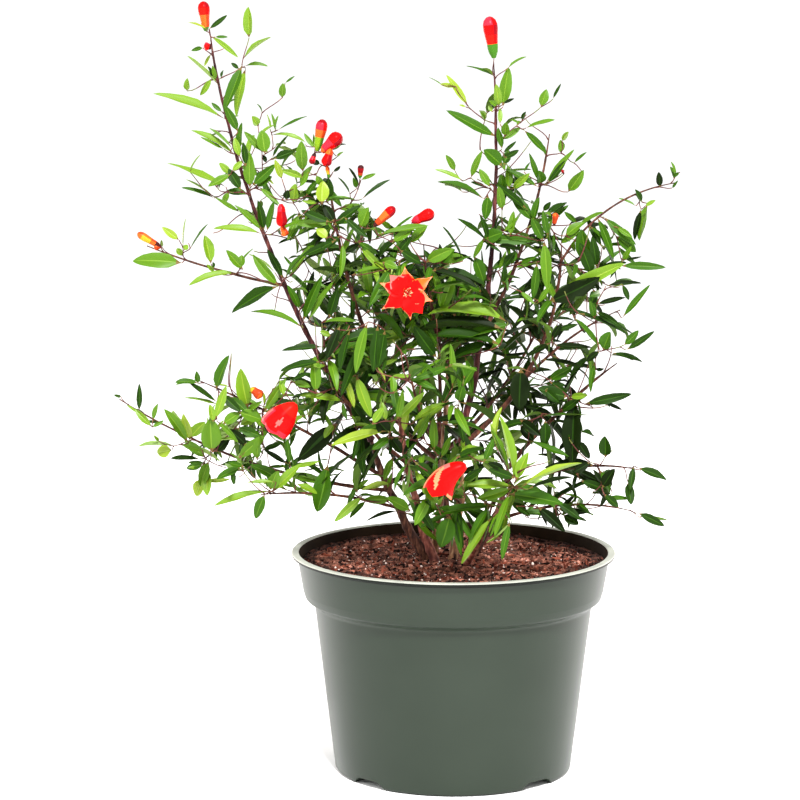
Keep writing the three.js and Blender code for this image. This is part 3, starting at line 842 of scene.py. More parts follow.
def blade_samples(rows):
    """Points over each leaf of an array of rows: its rib and both margins, from its stalk to its tip."""
    base, along, face = (rows[:, None, None, k : k + 3] for k in (0, 3, 6))
    length, width, droop = (rows[:, None, None, k : k + 1] for k in (9, 10, 11))
    t = SAMPLE_STATIONS[None, :, None, None]
    across = np.cross(along, face) * width / 2 * SAMPLE_MARGINS[None, None, :, None]
    middle = base + length * (along * np.sin(droop * t) - face * (1 - np.cos(droop * t))) / droop
    return middle + across * np.interp(t, STATIONS, HALF_WIDTHS)


class Leaves:
    """Rows of leaves to be made at once: base, direction, upper side, length, width, droop, tone."""

    def __init__(self):
        self.rows = []

    def add(self, base, along, face, length, width, droop, tone):
        along = unit(along)
        face = square_to(np.asarray(face, float), along)
        self.rows.append((*base, *along, *face, length, width, droop, tone))

    def samples(self):
        return blade_samples(np.array(self.rows).reshape(-1, 13))

    def keep(self, wanted):
        self.rows = [row for row, good in zip(self.rows, wanted) if good]

    def add_to(self, shape, rng):
        rows = np.array(self.rows)
        count = len(rows)
        base, along, face = (rows[:, None, k : k + 3] for k in (0, 3, 6))
        length, width, droop = (rows[:, None, k : k + 1] for k in (9, 10, 11))
        tone = rows[:, 12].astype(int)
        side = np.cross(along, face)
        twist = rng.uniform(-0.5, 0.5, (count, 1, 1))
        sickle = rng.uniform(-0.1, 0.1, (count, 1, 1))
        fold = rng.uniform(0.2, 0.75, (count, 1, 1))
        wave = rng.uniform(0, 2 * np.pi, (count, 1, 1))
        t = STATIONS[None, :, None]
        centre = base + length * (
            along * np.sin(droop * t) / droop - face * (1 - np.cos(droop * t)) / droop + side * sickle * t * t
        )
        over = face * np.cos(droop * t) + along * np.sin(droop * t)
        right = side * np.cos(twist * t) + over * np.sin(twist * t)
        over = over * np.cos(twist * t) - side * np.sin(twist * t)
        half = width / 2 * HALF_WIDTHS[None, :, None]
        columns = []
        for share, bulge in zip(TOP_COLUMNS, BULGE):
            ripple = 0.12 * np.sin(9 * t + wave + 2 * share) * (abs(share) > 0.9)
            rise = half * (abs(share) * np.sin(fold) + bulge + ripple)
            columns.append(centre + right * half * share * np.cos(fold) + over * rise)
        columns.append(centre - over * (BLADE_THICKNESS + 0.05 * half))
        rings = np.stack(columns, axis=2).reshape(count, -1, 3)
        end = base + length * (
            along * np.sin(droop) / droop - face * (1 - np.cos(droop)) / droop + side * sickle
        )
        points = np.concatenate([base, rings, end], axis=1)
        quads, fans = skin(len(STATIONS), LEAF_SIDES)
        strips = np.tile(np.arange(LEAF_SIDES), len(STATIONS) - 1)
        spans = np.repeat(np.arange(len(STATIONS) - 1), LEAF_SIDES)
        under, rib = np.array(UNDER)[tone][:, None], np.array(RIB)[tone][:, None]
        slots = np.where(strips == RIB_STRIP, rib, tone[:, None])
        slots = np.where(strips >= UNDERSIDE_FROM, under, slots)
        slots = np.where(spans == 0, STALK, slots)
        fan_strips = np.tile(np.arange(LEAF_SIDES), 2)
        fan_slots = np.where(fan_strips >= UNDERSIDE_FROM, under, tone[:, None])
        fan_slots[:, :LEAF_SIDES] = STALK
        offsets = LEAF_POINTS * np.arange(count)[:, None, None]
        shape.add(
            points,
            ((quads + offsets).reshape(-1, 4), slots.ravel()),
            ((fans + offsets).reshape(-1, 3), fan_slots.ravel()),
        )


# ---------------------------------------------------------------- masses of foliage
# Each mass: its limb, the shares of that limb's length between which it lies, the spacing of its shoots'
# tips, its leaves' usual length, its usual tone, from 0, the darkest, to 5, the youngest, and how far
# towards the viewer from the limb the leaves read off the photograph stand.
# A mass's usual tone holds painted shade too: masses deep in the crown, low on the right or at the back are
# darker.
MASSES = {
    "left_spire_top": ("leader_left", 0.75, 1.03, 24, 26, 3.6, 5),
    "left_spire_upper": ("leader_left", 0.5, 0.83, 22, 30, 3.0, 12),
    "left_spire_lower": ("leader_left", 0.2, 0.58, 22, 32, 2.0, 14),
    "left_arm": ("arm_left_high", 0.5, 1.14, 24, 24, 3.4, 5),
    "bud_cluster": ("bough_bud_cluster", 0.42, 1.12, 23, 31, 2.3, 18),
    "centre_top": ("bough_centre_top", 0.12, 1.12, 22, 36, 1.7, 22),
    "right_spire_top": ("leader_right", 0.66, 1.06, 24, 27, 3.2, 5),
    "right_spire_lower": ("leader_right", 0.3, 0.74, 23, 33, 1.8, 16),
    "second_spire": ("bough_second_spire", 0.3, 1.12, 23, 30, 2.4, 8),
    "right_shoulder": ("bough_right_outer", 0.46, 1.1, 23, 37, 1.3, 18),
    "right_arm": ("arm_right_high", 0.42, 1.08, 24, 26, 2.6, 5),
    "right_middle": ("arm_right_middle", 0.3, 1.12, 24, 33, 1.4, 14),
    "right_side": ("bough_right_side", 0.22, 1.05, 24, 32, 1.0, 16),
    "right_low": ("arm_right_low", 0.3, 1.08, 25, 31, 0.9, 12),
    "right_lowest": ("arm_right_lowest", 0.3, 1.08, 25, 30, 0.9, 14),
    "front_right": ("arm_front_right", 0.3, 1.3, 34, 36, 3.4, 10),
    "left_low": ("arm_left_low", 0.34, 1.1, 24, 30, 2.6, 10),
    "left_lowest": ("arm_left_lowest", 0.36, 1.03, 24, 27, 2.8, 8),
    "left_front": ("arm_left_front", 0.3, 1.12, 25, 31, 2.2, 12),
    "left_shoulder": ("bough_left_shoulder", 0.3, 1.14, 23, 38, 1.6, 26),
    "front_centre": ("bough_front_centre", 0.34, 1.12, 23, 36, 1.7, 22),
    "front_low": ("arm_front_low", 0.36, 1.12, 24, 34, 1.8, 14),
    "rear_left": ("bough_rear_left", 0.3, 1.14, 25, 34, 1.1, 0),
    "rear_right": ("bough_rear_right", 0.3, 1.14, 25, 34, 1.0, 0),
    "rear_centre": ("bough_rear_centre", 0.3, 1.14, 25, 34, 1.1, 0),
    "rear_low": ("arm_rear_low", 0.38, 1.14, 26, 32, 1.1, 0),
}

# Leaves read off the photograph, by mass: stalk end and tip in pixels, width in millimetres, tone
# and, where the blade arches, by how many radians. The tones are partly measured: a scratch script compared
# how light each leaf is in the photograph and in a render, and 86 tones were changed after it.
# The tones hold painted light and shade as well as the leaves' own colour: each follows how light its leaf
# shows, lit or in shade.
SEEN = {
    "left_spire_top": [
        (249, 38, 251, 7, 8.5, 4), (243, 59, 271, 35, 6, 4, 0.3), (245, 66, 268, 67, 4, 3, 0.7),
        (211, 36, 238, 58, 5, 4), (215, 37, 228, 37, 2.2, 2), (207, 29, 188, 23, 4, 5, 0.4),
        (209, 29, 228, 16, 3.5, 1), (203, 48, 191, 50, 3.6, 2), (211, 54, 204, 66, 2.4, 5),
        (219, 85, 187, 56, 2.4, 4), (212, 78, 201, 96, 5, 4), (213, 78, 208, 66, 4, 1),
        (216, 80, 211, 66, 3.5, 3), (187, 91, 187, 78, 5, 4), (225, 119, 154, 91, 7, 4, 0.24),
        (242, 65, 228, 112, 9, 2), (246, 68, 233, 116, 7.5, 4), (239, 69, 231, 63, 3, 1),
        (222, 112, 211, 103, 3, 2), (221, 78, 223, 70, 2.5, 1),
    ],
    "left_spire_upper": [
        (262, 174, 274, 184, 2.4, 5), (259, 187, 280, 204, 3.6, 3), (315, 199, 302, 192, 4, 1),
        (238, 132, 226, 104, 6, 2), (262, 152, 246, 130, 5, 3), (246, 166, 243, 142, 5, 1),
        (300, 186, 311, 165, 6, 3), (306, 196, 316, 180, 5, 2), (240, 212, 214, 200, 4, 3),
        (282, 98, 283, 83, 5, 3), (285, 83, 295, 76, 1.6, 2), (258, 126, 252, 116, 6.5, 4),
        (262, 113, 257, 103, 1.8, 2, 0.6), (270, 129, 267, 114, 3, 4, 0.3),
        (275, 131, 279, 116, 3.2, 3, 0.3), (276, 131, 272, 113, 2.4, 3), (278, 130, 307, 115, 2.6, 2),
        (272, 135, 305, 143, 3.4, 4, 0.9), (272, 158, 289, 136, 5, 1, 0.3), (274, 159, 293, 151, 6.5, 1),
        (303, 172, 299, 141, 8.5, 3), (265, 154, 262, 130, 9.5, 3), (238, 153, 241, 122, 5.5, 2),
        (240, 157, 233, 138, 5, 4), (234, 154, 191, 130, 7.5, 4, 0.3), (232, 148, 210, 127, 3.6, 3),
        (224, 149, 200, 139, 2.6, 3), (250, 188, 248, 152, 8.5, 3), (252, 186, 275, 164, 7.5, 2),
        (256, 187, 271, 175, 6, 2), (241, 190, 228, 169, 7, 1), (231, 174, 219, 163, 5, 4),
        (232, 171, 243, 161, 4, 4), (231, 174, 209, 188, 6, 3), (226, 187, 166, 166, 6, 4, 0.4),
        (190, 172, 200, 154, 1.8, 4, 0.4), (213, 196, 185, 179, 2.4, 4), (282, 179, 274, 160, 5, 5),
        (304, 178, 281, 168, 6, 4), (266, 163, 264, 155, 3, 0), (249, 195, 225, 192, 6.5, 2, 0.5),
        (229, 192, 224, 204, 5, 3), (214, 198, 181, 188, 4, 2, 0.3), (263, 231, 234, 205, 5.5, 3),
        (293, 203, 297, 184, 8.5, 4), (286, 200, 288, 190, 5, 0),
    ],
    "left_spire_lower": [
        (262, 234, 213, 230, 5, 4, 0.6), (264, 231, 258, 200, 6.5, 1), (267, 231, 277, 202, 6.5, 2),
        (272, 234, 312, 219, 6, 3, 0.3), (279, 286, 231, 311, 13, 1, 0.3), (303, 328, 250, 312, 8, 3, 0.7),
        (324, 347, 281, 349, 4.6, 1), (283, 279, 270, 248, 5.5, 1), (285, 279, 306, 252, 6.5, 2, 0.3),
        (290, 276, 312, 246, 5, 3), (303, 322, 318, 273, 8, 2), (300, 310, 289, 284, 5, 2),
        (308, 322, 335, 282, 6.5, 3, 0.3), (329, 318, 338, 288, 7, 1), (322, 323, 357, 322, 5, 3, 0.5),
        (331, 336, 320, 331, 4, 4),
    ],
    "left_arm": [
        (182, 263, 133, 257, 11.5, 3), (179, 240, 162, 227, 5.5, 5), (183, 248, 186, 218, 2, 5),
        (190, 249, 208, 223, 2, 2), (183, 256, 176, 249, 5, 4), (184, 250, 188, 245, 4, 4),
        (211, 264, 205, 235, 9, 4), (243, 269, 225, 251, 7, 3), (241, 268, 241, 255, 6, 3),
        (241, 264, 254, 249, 2.4, 3, 0.6), (279, 286, 250, 257, 8.5, 3), (237, 273, 188, 283, 5.5, 4, 0.6),
        (214, 272, 207, 264, 4, 4), (214, 268, 213, 262, 2.5, 1), (162, 247, 162, 240, 2.2, 4),
    ],
    "bud_cluster": [
        (315, 148, 303, 134, 3.5, 3), (314, 146, 313, 134, 2, 3), (327, 150, 342, 142, 5, 3),
        (335, 146, 346, 145, 1.6, 1), (336, 156, 344, 152, 1.6, 3), (333, 172, 341, 167, 2.5, 0),
        (320, 164, 312, 161, 4, 0), (350, 194, 338, 177, 2.4, 1, 0.4), (359, 186, 348, 168, 3.2, 0, 0.3),
        (361, 180, 376, 174, 3.5, 3), (357, 188, 352, 178, 4, 2), (362, 199, 392, 181, 4, 1, 0.3),
        (326, 199, 345, 200, 4, 2, 0.3), (318, 203, 302, 202, 3, 4), (330, 222, 300, 213, 6, 1),
        (330, 224, 296, 222, 6.5, 3), (328, 238, 316, 229, 7, 5), (333, 226, 361, 205, 6.5, 1),
        (344, 217, 366, 240, 5, 1), (360, 228, 370, 208, 9, 3), (358, 242, 377, 255, 5, 2),
        (344, 253, 359, 244, 5.5, 0), (316, 175, 322, 186, 5, 3), (309, 172, 300, 186, 5, 3),
        (340, 236, 322, 250, 6, 1), (336, 240, 304, 259, 6, 1), (334, 222, 325, 204, 7, 0),
        (322, 204, 321, 181, 9.5, 5), (328, 203, 327, 178, 8.5, 1),
    ],
    "centre_top": [
        (392, 242, 412, 229, 6, 3), (378, 235, 429, 226, 4.5, 3), (410, 243, 428, 227, 8, 3),
        (397, 254, 411, 236, 6.5, 1), (400, 250, 420, 265, 6.5, 1), (393, 232, 412, 215, 2, 2),
        (391, 229, 382, 220, 4, 3), (426, 262, 452, 246, 9, 3), (441, 263, 454, 248, 9, 2),
        (432, 262, 424, 250, 4, 1), (463, 261, 442, 226, 2, 1, 0.35), (430, 270, 478, 288, 6, 0, 0.5),
        (452, 264, 472, 257, 2, 2), (508, 322, 428, 311, 15, 4, 0.75), (505, 330, 415, 330, 15, 0, 0.6),
        (500, 345, 432, 333, 13, 1, 0.5), (374, 313, 404, 339, 10, 2, 0.3), (437, 358, 412, 327, 9, 1),
        (452, 345, 510, 325, 9, 2, 0.4), (450, 360, 486, 345, 10, 1, 0.4), (442, 362, 383, 368, 5, 2, 0.8),
        (380, 366, 397, 358, 3, 4), (430, 292, 470, 281, 7, 2, 0.3), (383, 262, 398, 268, 6, 3),
        (352, 275, 384, 268, 6, 3, 0.3),
    ],
    "right_spire_top": [
        (503, 107, 507, 67, 9, 3), (499, 107, 496, 84, 6, 4), (508, 68, 526, 56, 3.4, 3, 0.35),
        (494, 76, 466, 65, 3, 2, 0.3), (468, 106, 447, 74, 5, 5), (456, 87, 440, 85, 4, 5),
        (442, 85, 429, 77, 1.4, 3), (466, 107, 459, 105, 2, 5), (497, 137, 445, 113, 8, 2),
        (485, 120, 481, 111, 3, 3), (541, 107, 546, 89, 7, 3), (553, 99, 560, 83, 2.6, 1),
        (526, 128, 555, 121, 4.5, 3, 0.35), (522, 120, 525, 111, 3, 1), (520, 123, 511, 120, 2, 3),
        (501, 140, 521, 128, 5, 3), (505, 136, 506, 122, 6, 3), (524, 130, 546, 154, 6.5, 2),
        (502, 166, 485, 148, 11, 2), (504, 165, 509, 150, 6, 2), (503, 153, 517, 142, 3, 1),
        (505, 158, 519, 150, 4.5, 1), (497, 106, 489, 101, 4, 3), (492, 112, 489, 105, 3, 4),
        (503, 104, 514, 98, 2.4, 0), (502, 149, 499, 127, 5, 2), (500, 124, 501, 108, 3.4, 4),
    ],
    "second_spire": [
        (515, 268, 534, 261, 3.4, 3), (541, 270, 542, 292, 6, 1), (561, 153, 559, 140, 6, 3),
        (562, 141, 568, 131, 4, 4), (545, 184, 575, 150, 4.5, 3), (547, 184, 568, 161, 5, 1),
        (541, 184, 540, 170, 8, 2), (539, 182, 527, 154, 4.5, 2), (568, 192, 585, 171, 9, 3),
        (574, 163, 586, 151, 2.4, 2), (538, 187, 506, 167, 5, 2), (524, 172, 530, 162, 2, 2),
        (512, 189, 531, 175, 6, 4), (509, 189, 508, 165, 6, 3), (503, 191, 501, 174, 6, 2),
        (534, 222, 508, 193, 8, 2), (533, 221, 539, 197, 7, 2), (543, 211, 551, 202, 4, 1),
        (550, 214, 568, 203, 6.5, 1, 0.3), (577, 223, 564, 212, 4, 2), (578, 229, 603, 211, 5.5, 3, 0.3),
        (565, 236, 583, 221, 7, 3), (586, 262, 583, 229, 12, 2), (560, 244, 580, 229, 5, 3),
        (527, 209, 494, 182, 6, 1),
    ],
    "right_spire_lower": [
        (538, 300, 500, 300, 4, 1, 0.6), (520, 291, 534, 305, 4, 3), (537, 304, 553, 285, 4, 3),
        (502, 210, 498, 186, 7, 3), (488, 240, 482, 214, 5, 1), (503, 284, 502, 262, 6, 1),
        (455, 171, 447, 154, 5, 3), (463, 181, 435, 169, 3, 4, 0.4), (484, 199, 437, 180, 8, 2, 0.35),
        (471, 178, 480, 150, 5, 3), (490, 187, 479, 169, 5.5, 3), (488, 195, 486, 220, 8.5, 2),
        (486, 187, 471, 181, 3, 1), (487, 241, 457, 218, 5, 1, 0.35), (482, 240, 503, 232, 10, 2),
        (484, 238, 475, 259, 5, 3), (474, 256, 485, 281, 9, 2), (484, 239, 534, 241, 8, 2),
        (497, 246, 522, 248, 5, 0), (510, 236, 514, 211, 5.5, 3), (503, 232, 520, 218, 4, 3),
        (543, 241, 533, 217, 7, 2), (537, 262, 535, 300, 6, 2), (544, 240, 549, 290, 8, 3),
        (548, 236, 541, 211, 5, 2), (520, 262, 537, 258, 4, 2), (503, 268, 516, 252, 6, 1),
    ],
    "right_arm": [
        (648, 203, 641, 241, 9, 3, 0.3), (641, 209, 634, 240, 6, 0), (642, 202, 634, 190, 5, 1),
        (645, 206, 656, 201, 3.2, 4), (636, 206, 618, 199, 1.8, 3, 0.4), (660, 187, 658, 172, 5, 0),
        (676, 175, 670, 162, 3, 3), (680, 172, 674, 177, 3, 2), (672, 188, 679, 181, 2.4, 2),
    ],
    "right_shoulder": [
        (604, 217, 634, 247, 6, 2), (597, 217, 617, 258, 7, 2), (590, 226, 612, 245, 4, 2),
        (617, 227, 632, 238, 4.5, 3), (616, 236, 636, 252, 8, 2), (622, 262, 632, 246, 5, 3),
        (597, 268, 592, 236, 7, 1), (556, 296, 625, 264, 11, 4), (620, 266, 666, 266, 6.5, 2),
        (625, 260, 642, 257, 2.2, 0), (548, 302, 602, 282, 13, 0), (592, 276, 581, 242, 9, 1),
    ],
    "right_middle": [
        (556, 330, 578, 324, 4, 1), (552, 340, 560, 322, 5, 0), (606, 286, 642, 285, 4.5, 0, 0.4),
        (622, 284, 629, 300, 4, 1), (597, 304, 626, 298, 4.5, 0), (622, 318, 652, 286, 5.5, 2),
        (594, 318, 592, 300, 5, 2), (578, 313, 630, 334, 7, 1, 0.3), (596, 312, 622, 324, 6, 1),
        (573, 317, 598, 347, 5.5, 2, 0.3), (603, 350, 611, 332, 10, 2), (552, 345, 592, 350, 5, 0),
        (624, 345, 640, 332, 5.5, 2), (626, 350, 656, 334, 5, 1), (612, 353, 643, 360, 5, 1),
        (595, 362, 588, 392, 4.5, 2), (600, 351, 586, 361, 5, 0), (596, 370, 604, 368, 3, 0),
        (541, 360, 584, 366, 5, 0, 0.3),
    ],
    "right_side": [
        (568, 397, 537, 391, 9.5, 1), (572, 399, 535, 409, 3, 2), (584, 404, 632, 394, 8, 1),
        (604, 402, 622, 410, 3, 0), (575, 398, 571, 466, 15, 0), (570, 397, 588, 395, 5, 4),
        (560, 412, 582, 398, 6, 1), (540, 416, 590, 416, 3.5, 2), (545, 420, 547, 445, 8, 1),
        (520, 425, 535, 440, 9, 0), (520, 420, 541, 436, 8, 0), (528, 440, 570, 458, 5, 2),
        (549, 380, 572, 367, 8, 2), (550, 382, 567, 393, 5, 1), (545, 390, 560, 402, 6, 1),
        (521, 368, 518, 410, 14, 0), (581, 432, 594, 436, 7, 1, 0.5), (577, 440, 588, 460, 7, 0),
    ],
    "right_low": [
        (605, 457, 607, 436, 11, 1), (638, 468, 668, 478, 7, 1), (634, 466, 629, 490, 5, 1),
        (628, 482, 631, 505, 7, 1), (602, 488, 614, 468, 8, 0), (602, 483, 592, 470, 4, 0),
        (580, 480, 608, 492, 6, 1), (600, 470, 612, 492, 6, 2), (604, 494, 618, 508, 6, 1),
        (606, 498, 630, 498, 4, 2), (590, 462, 574, 474, 6, 0),
    ],
    "right_lowest": [
        (638, 513, 665, 525, 6, 1), (556, 502, 583, 518, 6, 1), (538, 507, 566, 531, 8, 0),
        (563, 515, 579, 524, 7, 1), (563, 494, 583, 500, 3.5, 3, 0.3), (578, 503, 588, 511, 3, 2),
        (525, 517, 534, 506, 4, 2), (516, 506, 531, 515, 4, 1),
    ],
    "front_right": [
        (514, 483, 500, 414, 5.5, 4, 0.3), (508, 470, 492, 428, 5, 3), (516, 481, 526, 451, 8, 4),
        (520, 488, 582, 462, 5, 5, 0.3), (508, 494, 564, 500, 11, 2), (515, 488, 541, 489, 6, 2),
        (514, 486, 464, 487, 8, 4, 0.3), (512, 488, 478, 502, 7, 3), (510, 492, 496, 537, 5, 3),
        (510, 522, 499, 559, 5, 2), (493, 516, 462, 565, 4.6, 4), (515, 478, 488, 470, 6, 1),
        (505, 470, 488, 462, 6, 0), (528, 489, 573, 478, 6, 0, 0.3),
    ],
    "left_low": [
        (216, 390, 227, 354, 9, 2), (198, 383, 175, 382, 5.5, 2, 0.4), (198, 383, 197, 371, 4.5, 2),
        (217, 402, 188, 383, 4, 1), (215, 420, 227, 386, 6, 4), (217, 404, 184, 399, 5, 4, 0.3),
        (213, 422, 211, 404, 5, 4), (248, 408, 238, 369, 13, 4), (248, 400, 243, 375, 6, 3),
        (264, 405, 263, 391, 3, 5, 0.4), (223, 424, 240, 413, 7.5, 3), (222, 394, 240, 413, 6.5, 1),
        (230, 396, 248, 414, 6, 2), (238, 412, 262, 420, 9, 3), (262, 413, 240, 424, 8, 4),
        (212, 452, 209, 418, 14, 3), (217, 421, 240, 441, 5, 3), (212, 443, 238, 440, 3, 4, 0.8),
        (216, 452, 229, 437, 8, 0), (247, 446, 230, 428, 7, 0), (236, 428, 262, 434, 7, 2),
        (238, 459, 264, 434, 8, 3), (257, 460, 259, 436, 8, 3), (247, 411, 262, 400, 5, 3),
        (263, 450, 283, 441, 5, 1), (262, 428, 254, 408, 6, 4),
    ],
    "left_lowest": [
        (208, 470, 206, 496, 8, 4), (188, 443, 167, 407, 8, 3), (190, 440, 182, 414, 8, 5),
        (190, 438, 204, 421, 8, 4), (139, 411, 142, 384, 4.6, 1), (121, 397, 114, 394, 2.5, 2),
        (153, 420, 157, 403, 4, 3), (152, 427, 134, 409, 6, 4), (137, 413, 127, 404, 2, 4),
        (152, 427, 164, 421, 3.5, 3), (174, 446, 138, 445, 6, 4, 0.3), (172, 450, 157, 453, 9, 5),
        (206, 458, 184, 440, 8, 3), (202, 450, 182, 446, 5, 3), (159, 441, 154, 435, 2.5, 4),
        (200, 459, 170, 460, 4.5, 1, 0.4), (205, 463, 188, 462, 3, 2), (209, 461, 199, 486, 10, 3),
        (203, 464, 187, 470, 6, 2), (202, 478, 196, 496, 9, 5), (200, 467, 188, 469, 3, 4),
        (199, 479, 195, 493, 3, 3), (206, 481, 230, 481, 4, 5),
    ],
    "left_front": [
        (241, 467, 216, 478, 6.5, 2), (243, 466, 228, 464, 4, 2), (233, 470, 233, 485, 3.6, 1),
        (272, 491, 214, 508, 5.5, 4, 0.35), (265, 494, 254, 518, 7.5, 2), (276, 482, 247, 483, 3, 4),
        (284, 482, 252, 462, 8, 2), (270, 490, 276, 470, 9, 3), (273, 491, 302, 464, 8, 4),
        (292, 467, 320, 463, 4, 4), (290, 465, 287, 438, 4.5, 2), (288, 464, 263, 450, 4, 0),
        (296, 484, 317, 495, 6, 4, 0.4), (328, 464, 321, 513, 16, 2), (338, 424, 299, 460, 12, 0),
        (334, 424, 324, 438, 6, 4), (363, 496, 334, 522, 6, 4), (366, 501, 348, 517, 5, 2),
        (392, 500, 364, 497, 7, 3), (356, 488, 347, 505, 3.4, 2), (398, 511, 366, 521, 3.4, 0, 0.3),
        (392, 484, 362, 492, 6.5, 5, 0.4), (411, 511, 386, 497, 8.5, 3), (393, 457, 383, 480, 6, 3),
    ],
    "left_shoulder": [
        (316, 393, 313, 356, 9, 3), (328, 366, 300, 366, 3.5, 4), (322, 362, 280, 374, 7, 1, 0.5),
        (345, 402, 300, 398, 6, 4, 0.6), (338, 397, 302, 412, 5, 2, 0.3), (346, 377, 352, 408, 6, 5),
        (356, 375, 369, 418, 8, 4), (353, 424, 372, 425, 3, 4), (264, 412, 286, 378, 6, 3),
        (290, 382, 311, 372, 4, 1, 0.3), (293, 382, 311, 386, 5, 3), (368, 322, 352, 372, 7, 3),
        (378, 325, 372, 372, 7, 1), (362, 340, 345, 398, 8, 1), (350, 330, 340, 372, 7, 1),
        (385, 330, 379, 368, 8, 1), (340, 326, 327, 360, 7, 0), (284, 396, 280, 380, 5, 4),
    ],
    "front_centre": [
        (372, 424, 384, 407, 6, 4), (386, 421, 382, 402, 4.5, 4), (397, 420, 405, 390, 6, 3),
        (397, 420, 426, 393, 7, 4), (404, 433, 408, 403, 6, 5), (411, 424, 444, 402, 6, 4, 0.5),
        (411, 440, 444, 407, 6.5, 4, 0.6), (416, 441, 432, 415, 5, 3), (434, 451, 436, 417, 7, 3),
        (441, 458, 452, 436, 5, 3), (388, 431, 331, 446, 7, 5, 0.45), (390, 437, 371, 448, 7, 2),
        (390, 434, 376, 420, 10, 0), (391, 437, 402, 453, 8, 0), (394, 393, 393, 376, 5, 3),
        (459, 402, 462, 385, 8, 2),
    ],
    "front_low": [
        (462, 482, 482, 466, 6, 1), (484, 462, 494, 438, 5, 2), (470, 492, 476, 470, 5, 0),
        (450, 515, 443, 548, 13, 2), (430, 496, 416, 526, 8, 3), (415, 462, 432, 481, 9, 1),
        (424, 486, 437, 504, 8, 3), (496, 506, 432, 518, 8, 2, 0.3), (457, 458, 485, 448, 8, 1, 0.3),
    ],
}

# Where the photograph shows leaf against leaf, as an outline in pixels, and the patches of sky inside it
# (centre and radius). Leaves that the growing rule adds stay on what this leaves over.
DENSE = [
    (296, 205), (312, 186), (330, 178), (346, 196), (362, 200), (376, 216), (380, 234), (398, 238),
    (412, 240), (424, 250), (452, 262), (470, 282), (480, 262), (482, 236), (494, 226), (500, 200),
    (512, 190), (534, 200), (552, 212), (572, 218), (600, 226), (626, 252), (630, 268), (604, 282),
    (600, 302), (592, 312), (570, 322), (560, 338), (580, 350), (598, 352), (590, 380), (584, 400),
    (582, 440), (590, 465), (612, 500), (584, 522), (552, 530), (520, 512), (500, 540), (462, 552),
    (436, 540), (412, 522), (398, 500), (362, 492), (338, 480), (316, 492), (280, 486), (240, 470),
    (214, 462), (202, 444), (216, 424), (240, 446), (264, 452), (280, 444), (262, 426), (270, 392),
    (300, 366), (318, 356), (322, 336), (308, 322), (300, 300), (286, 268), (276, 236),
]
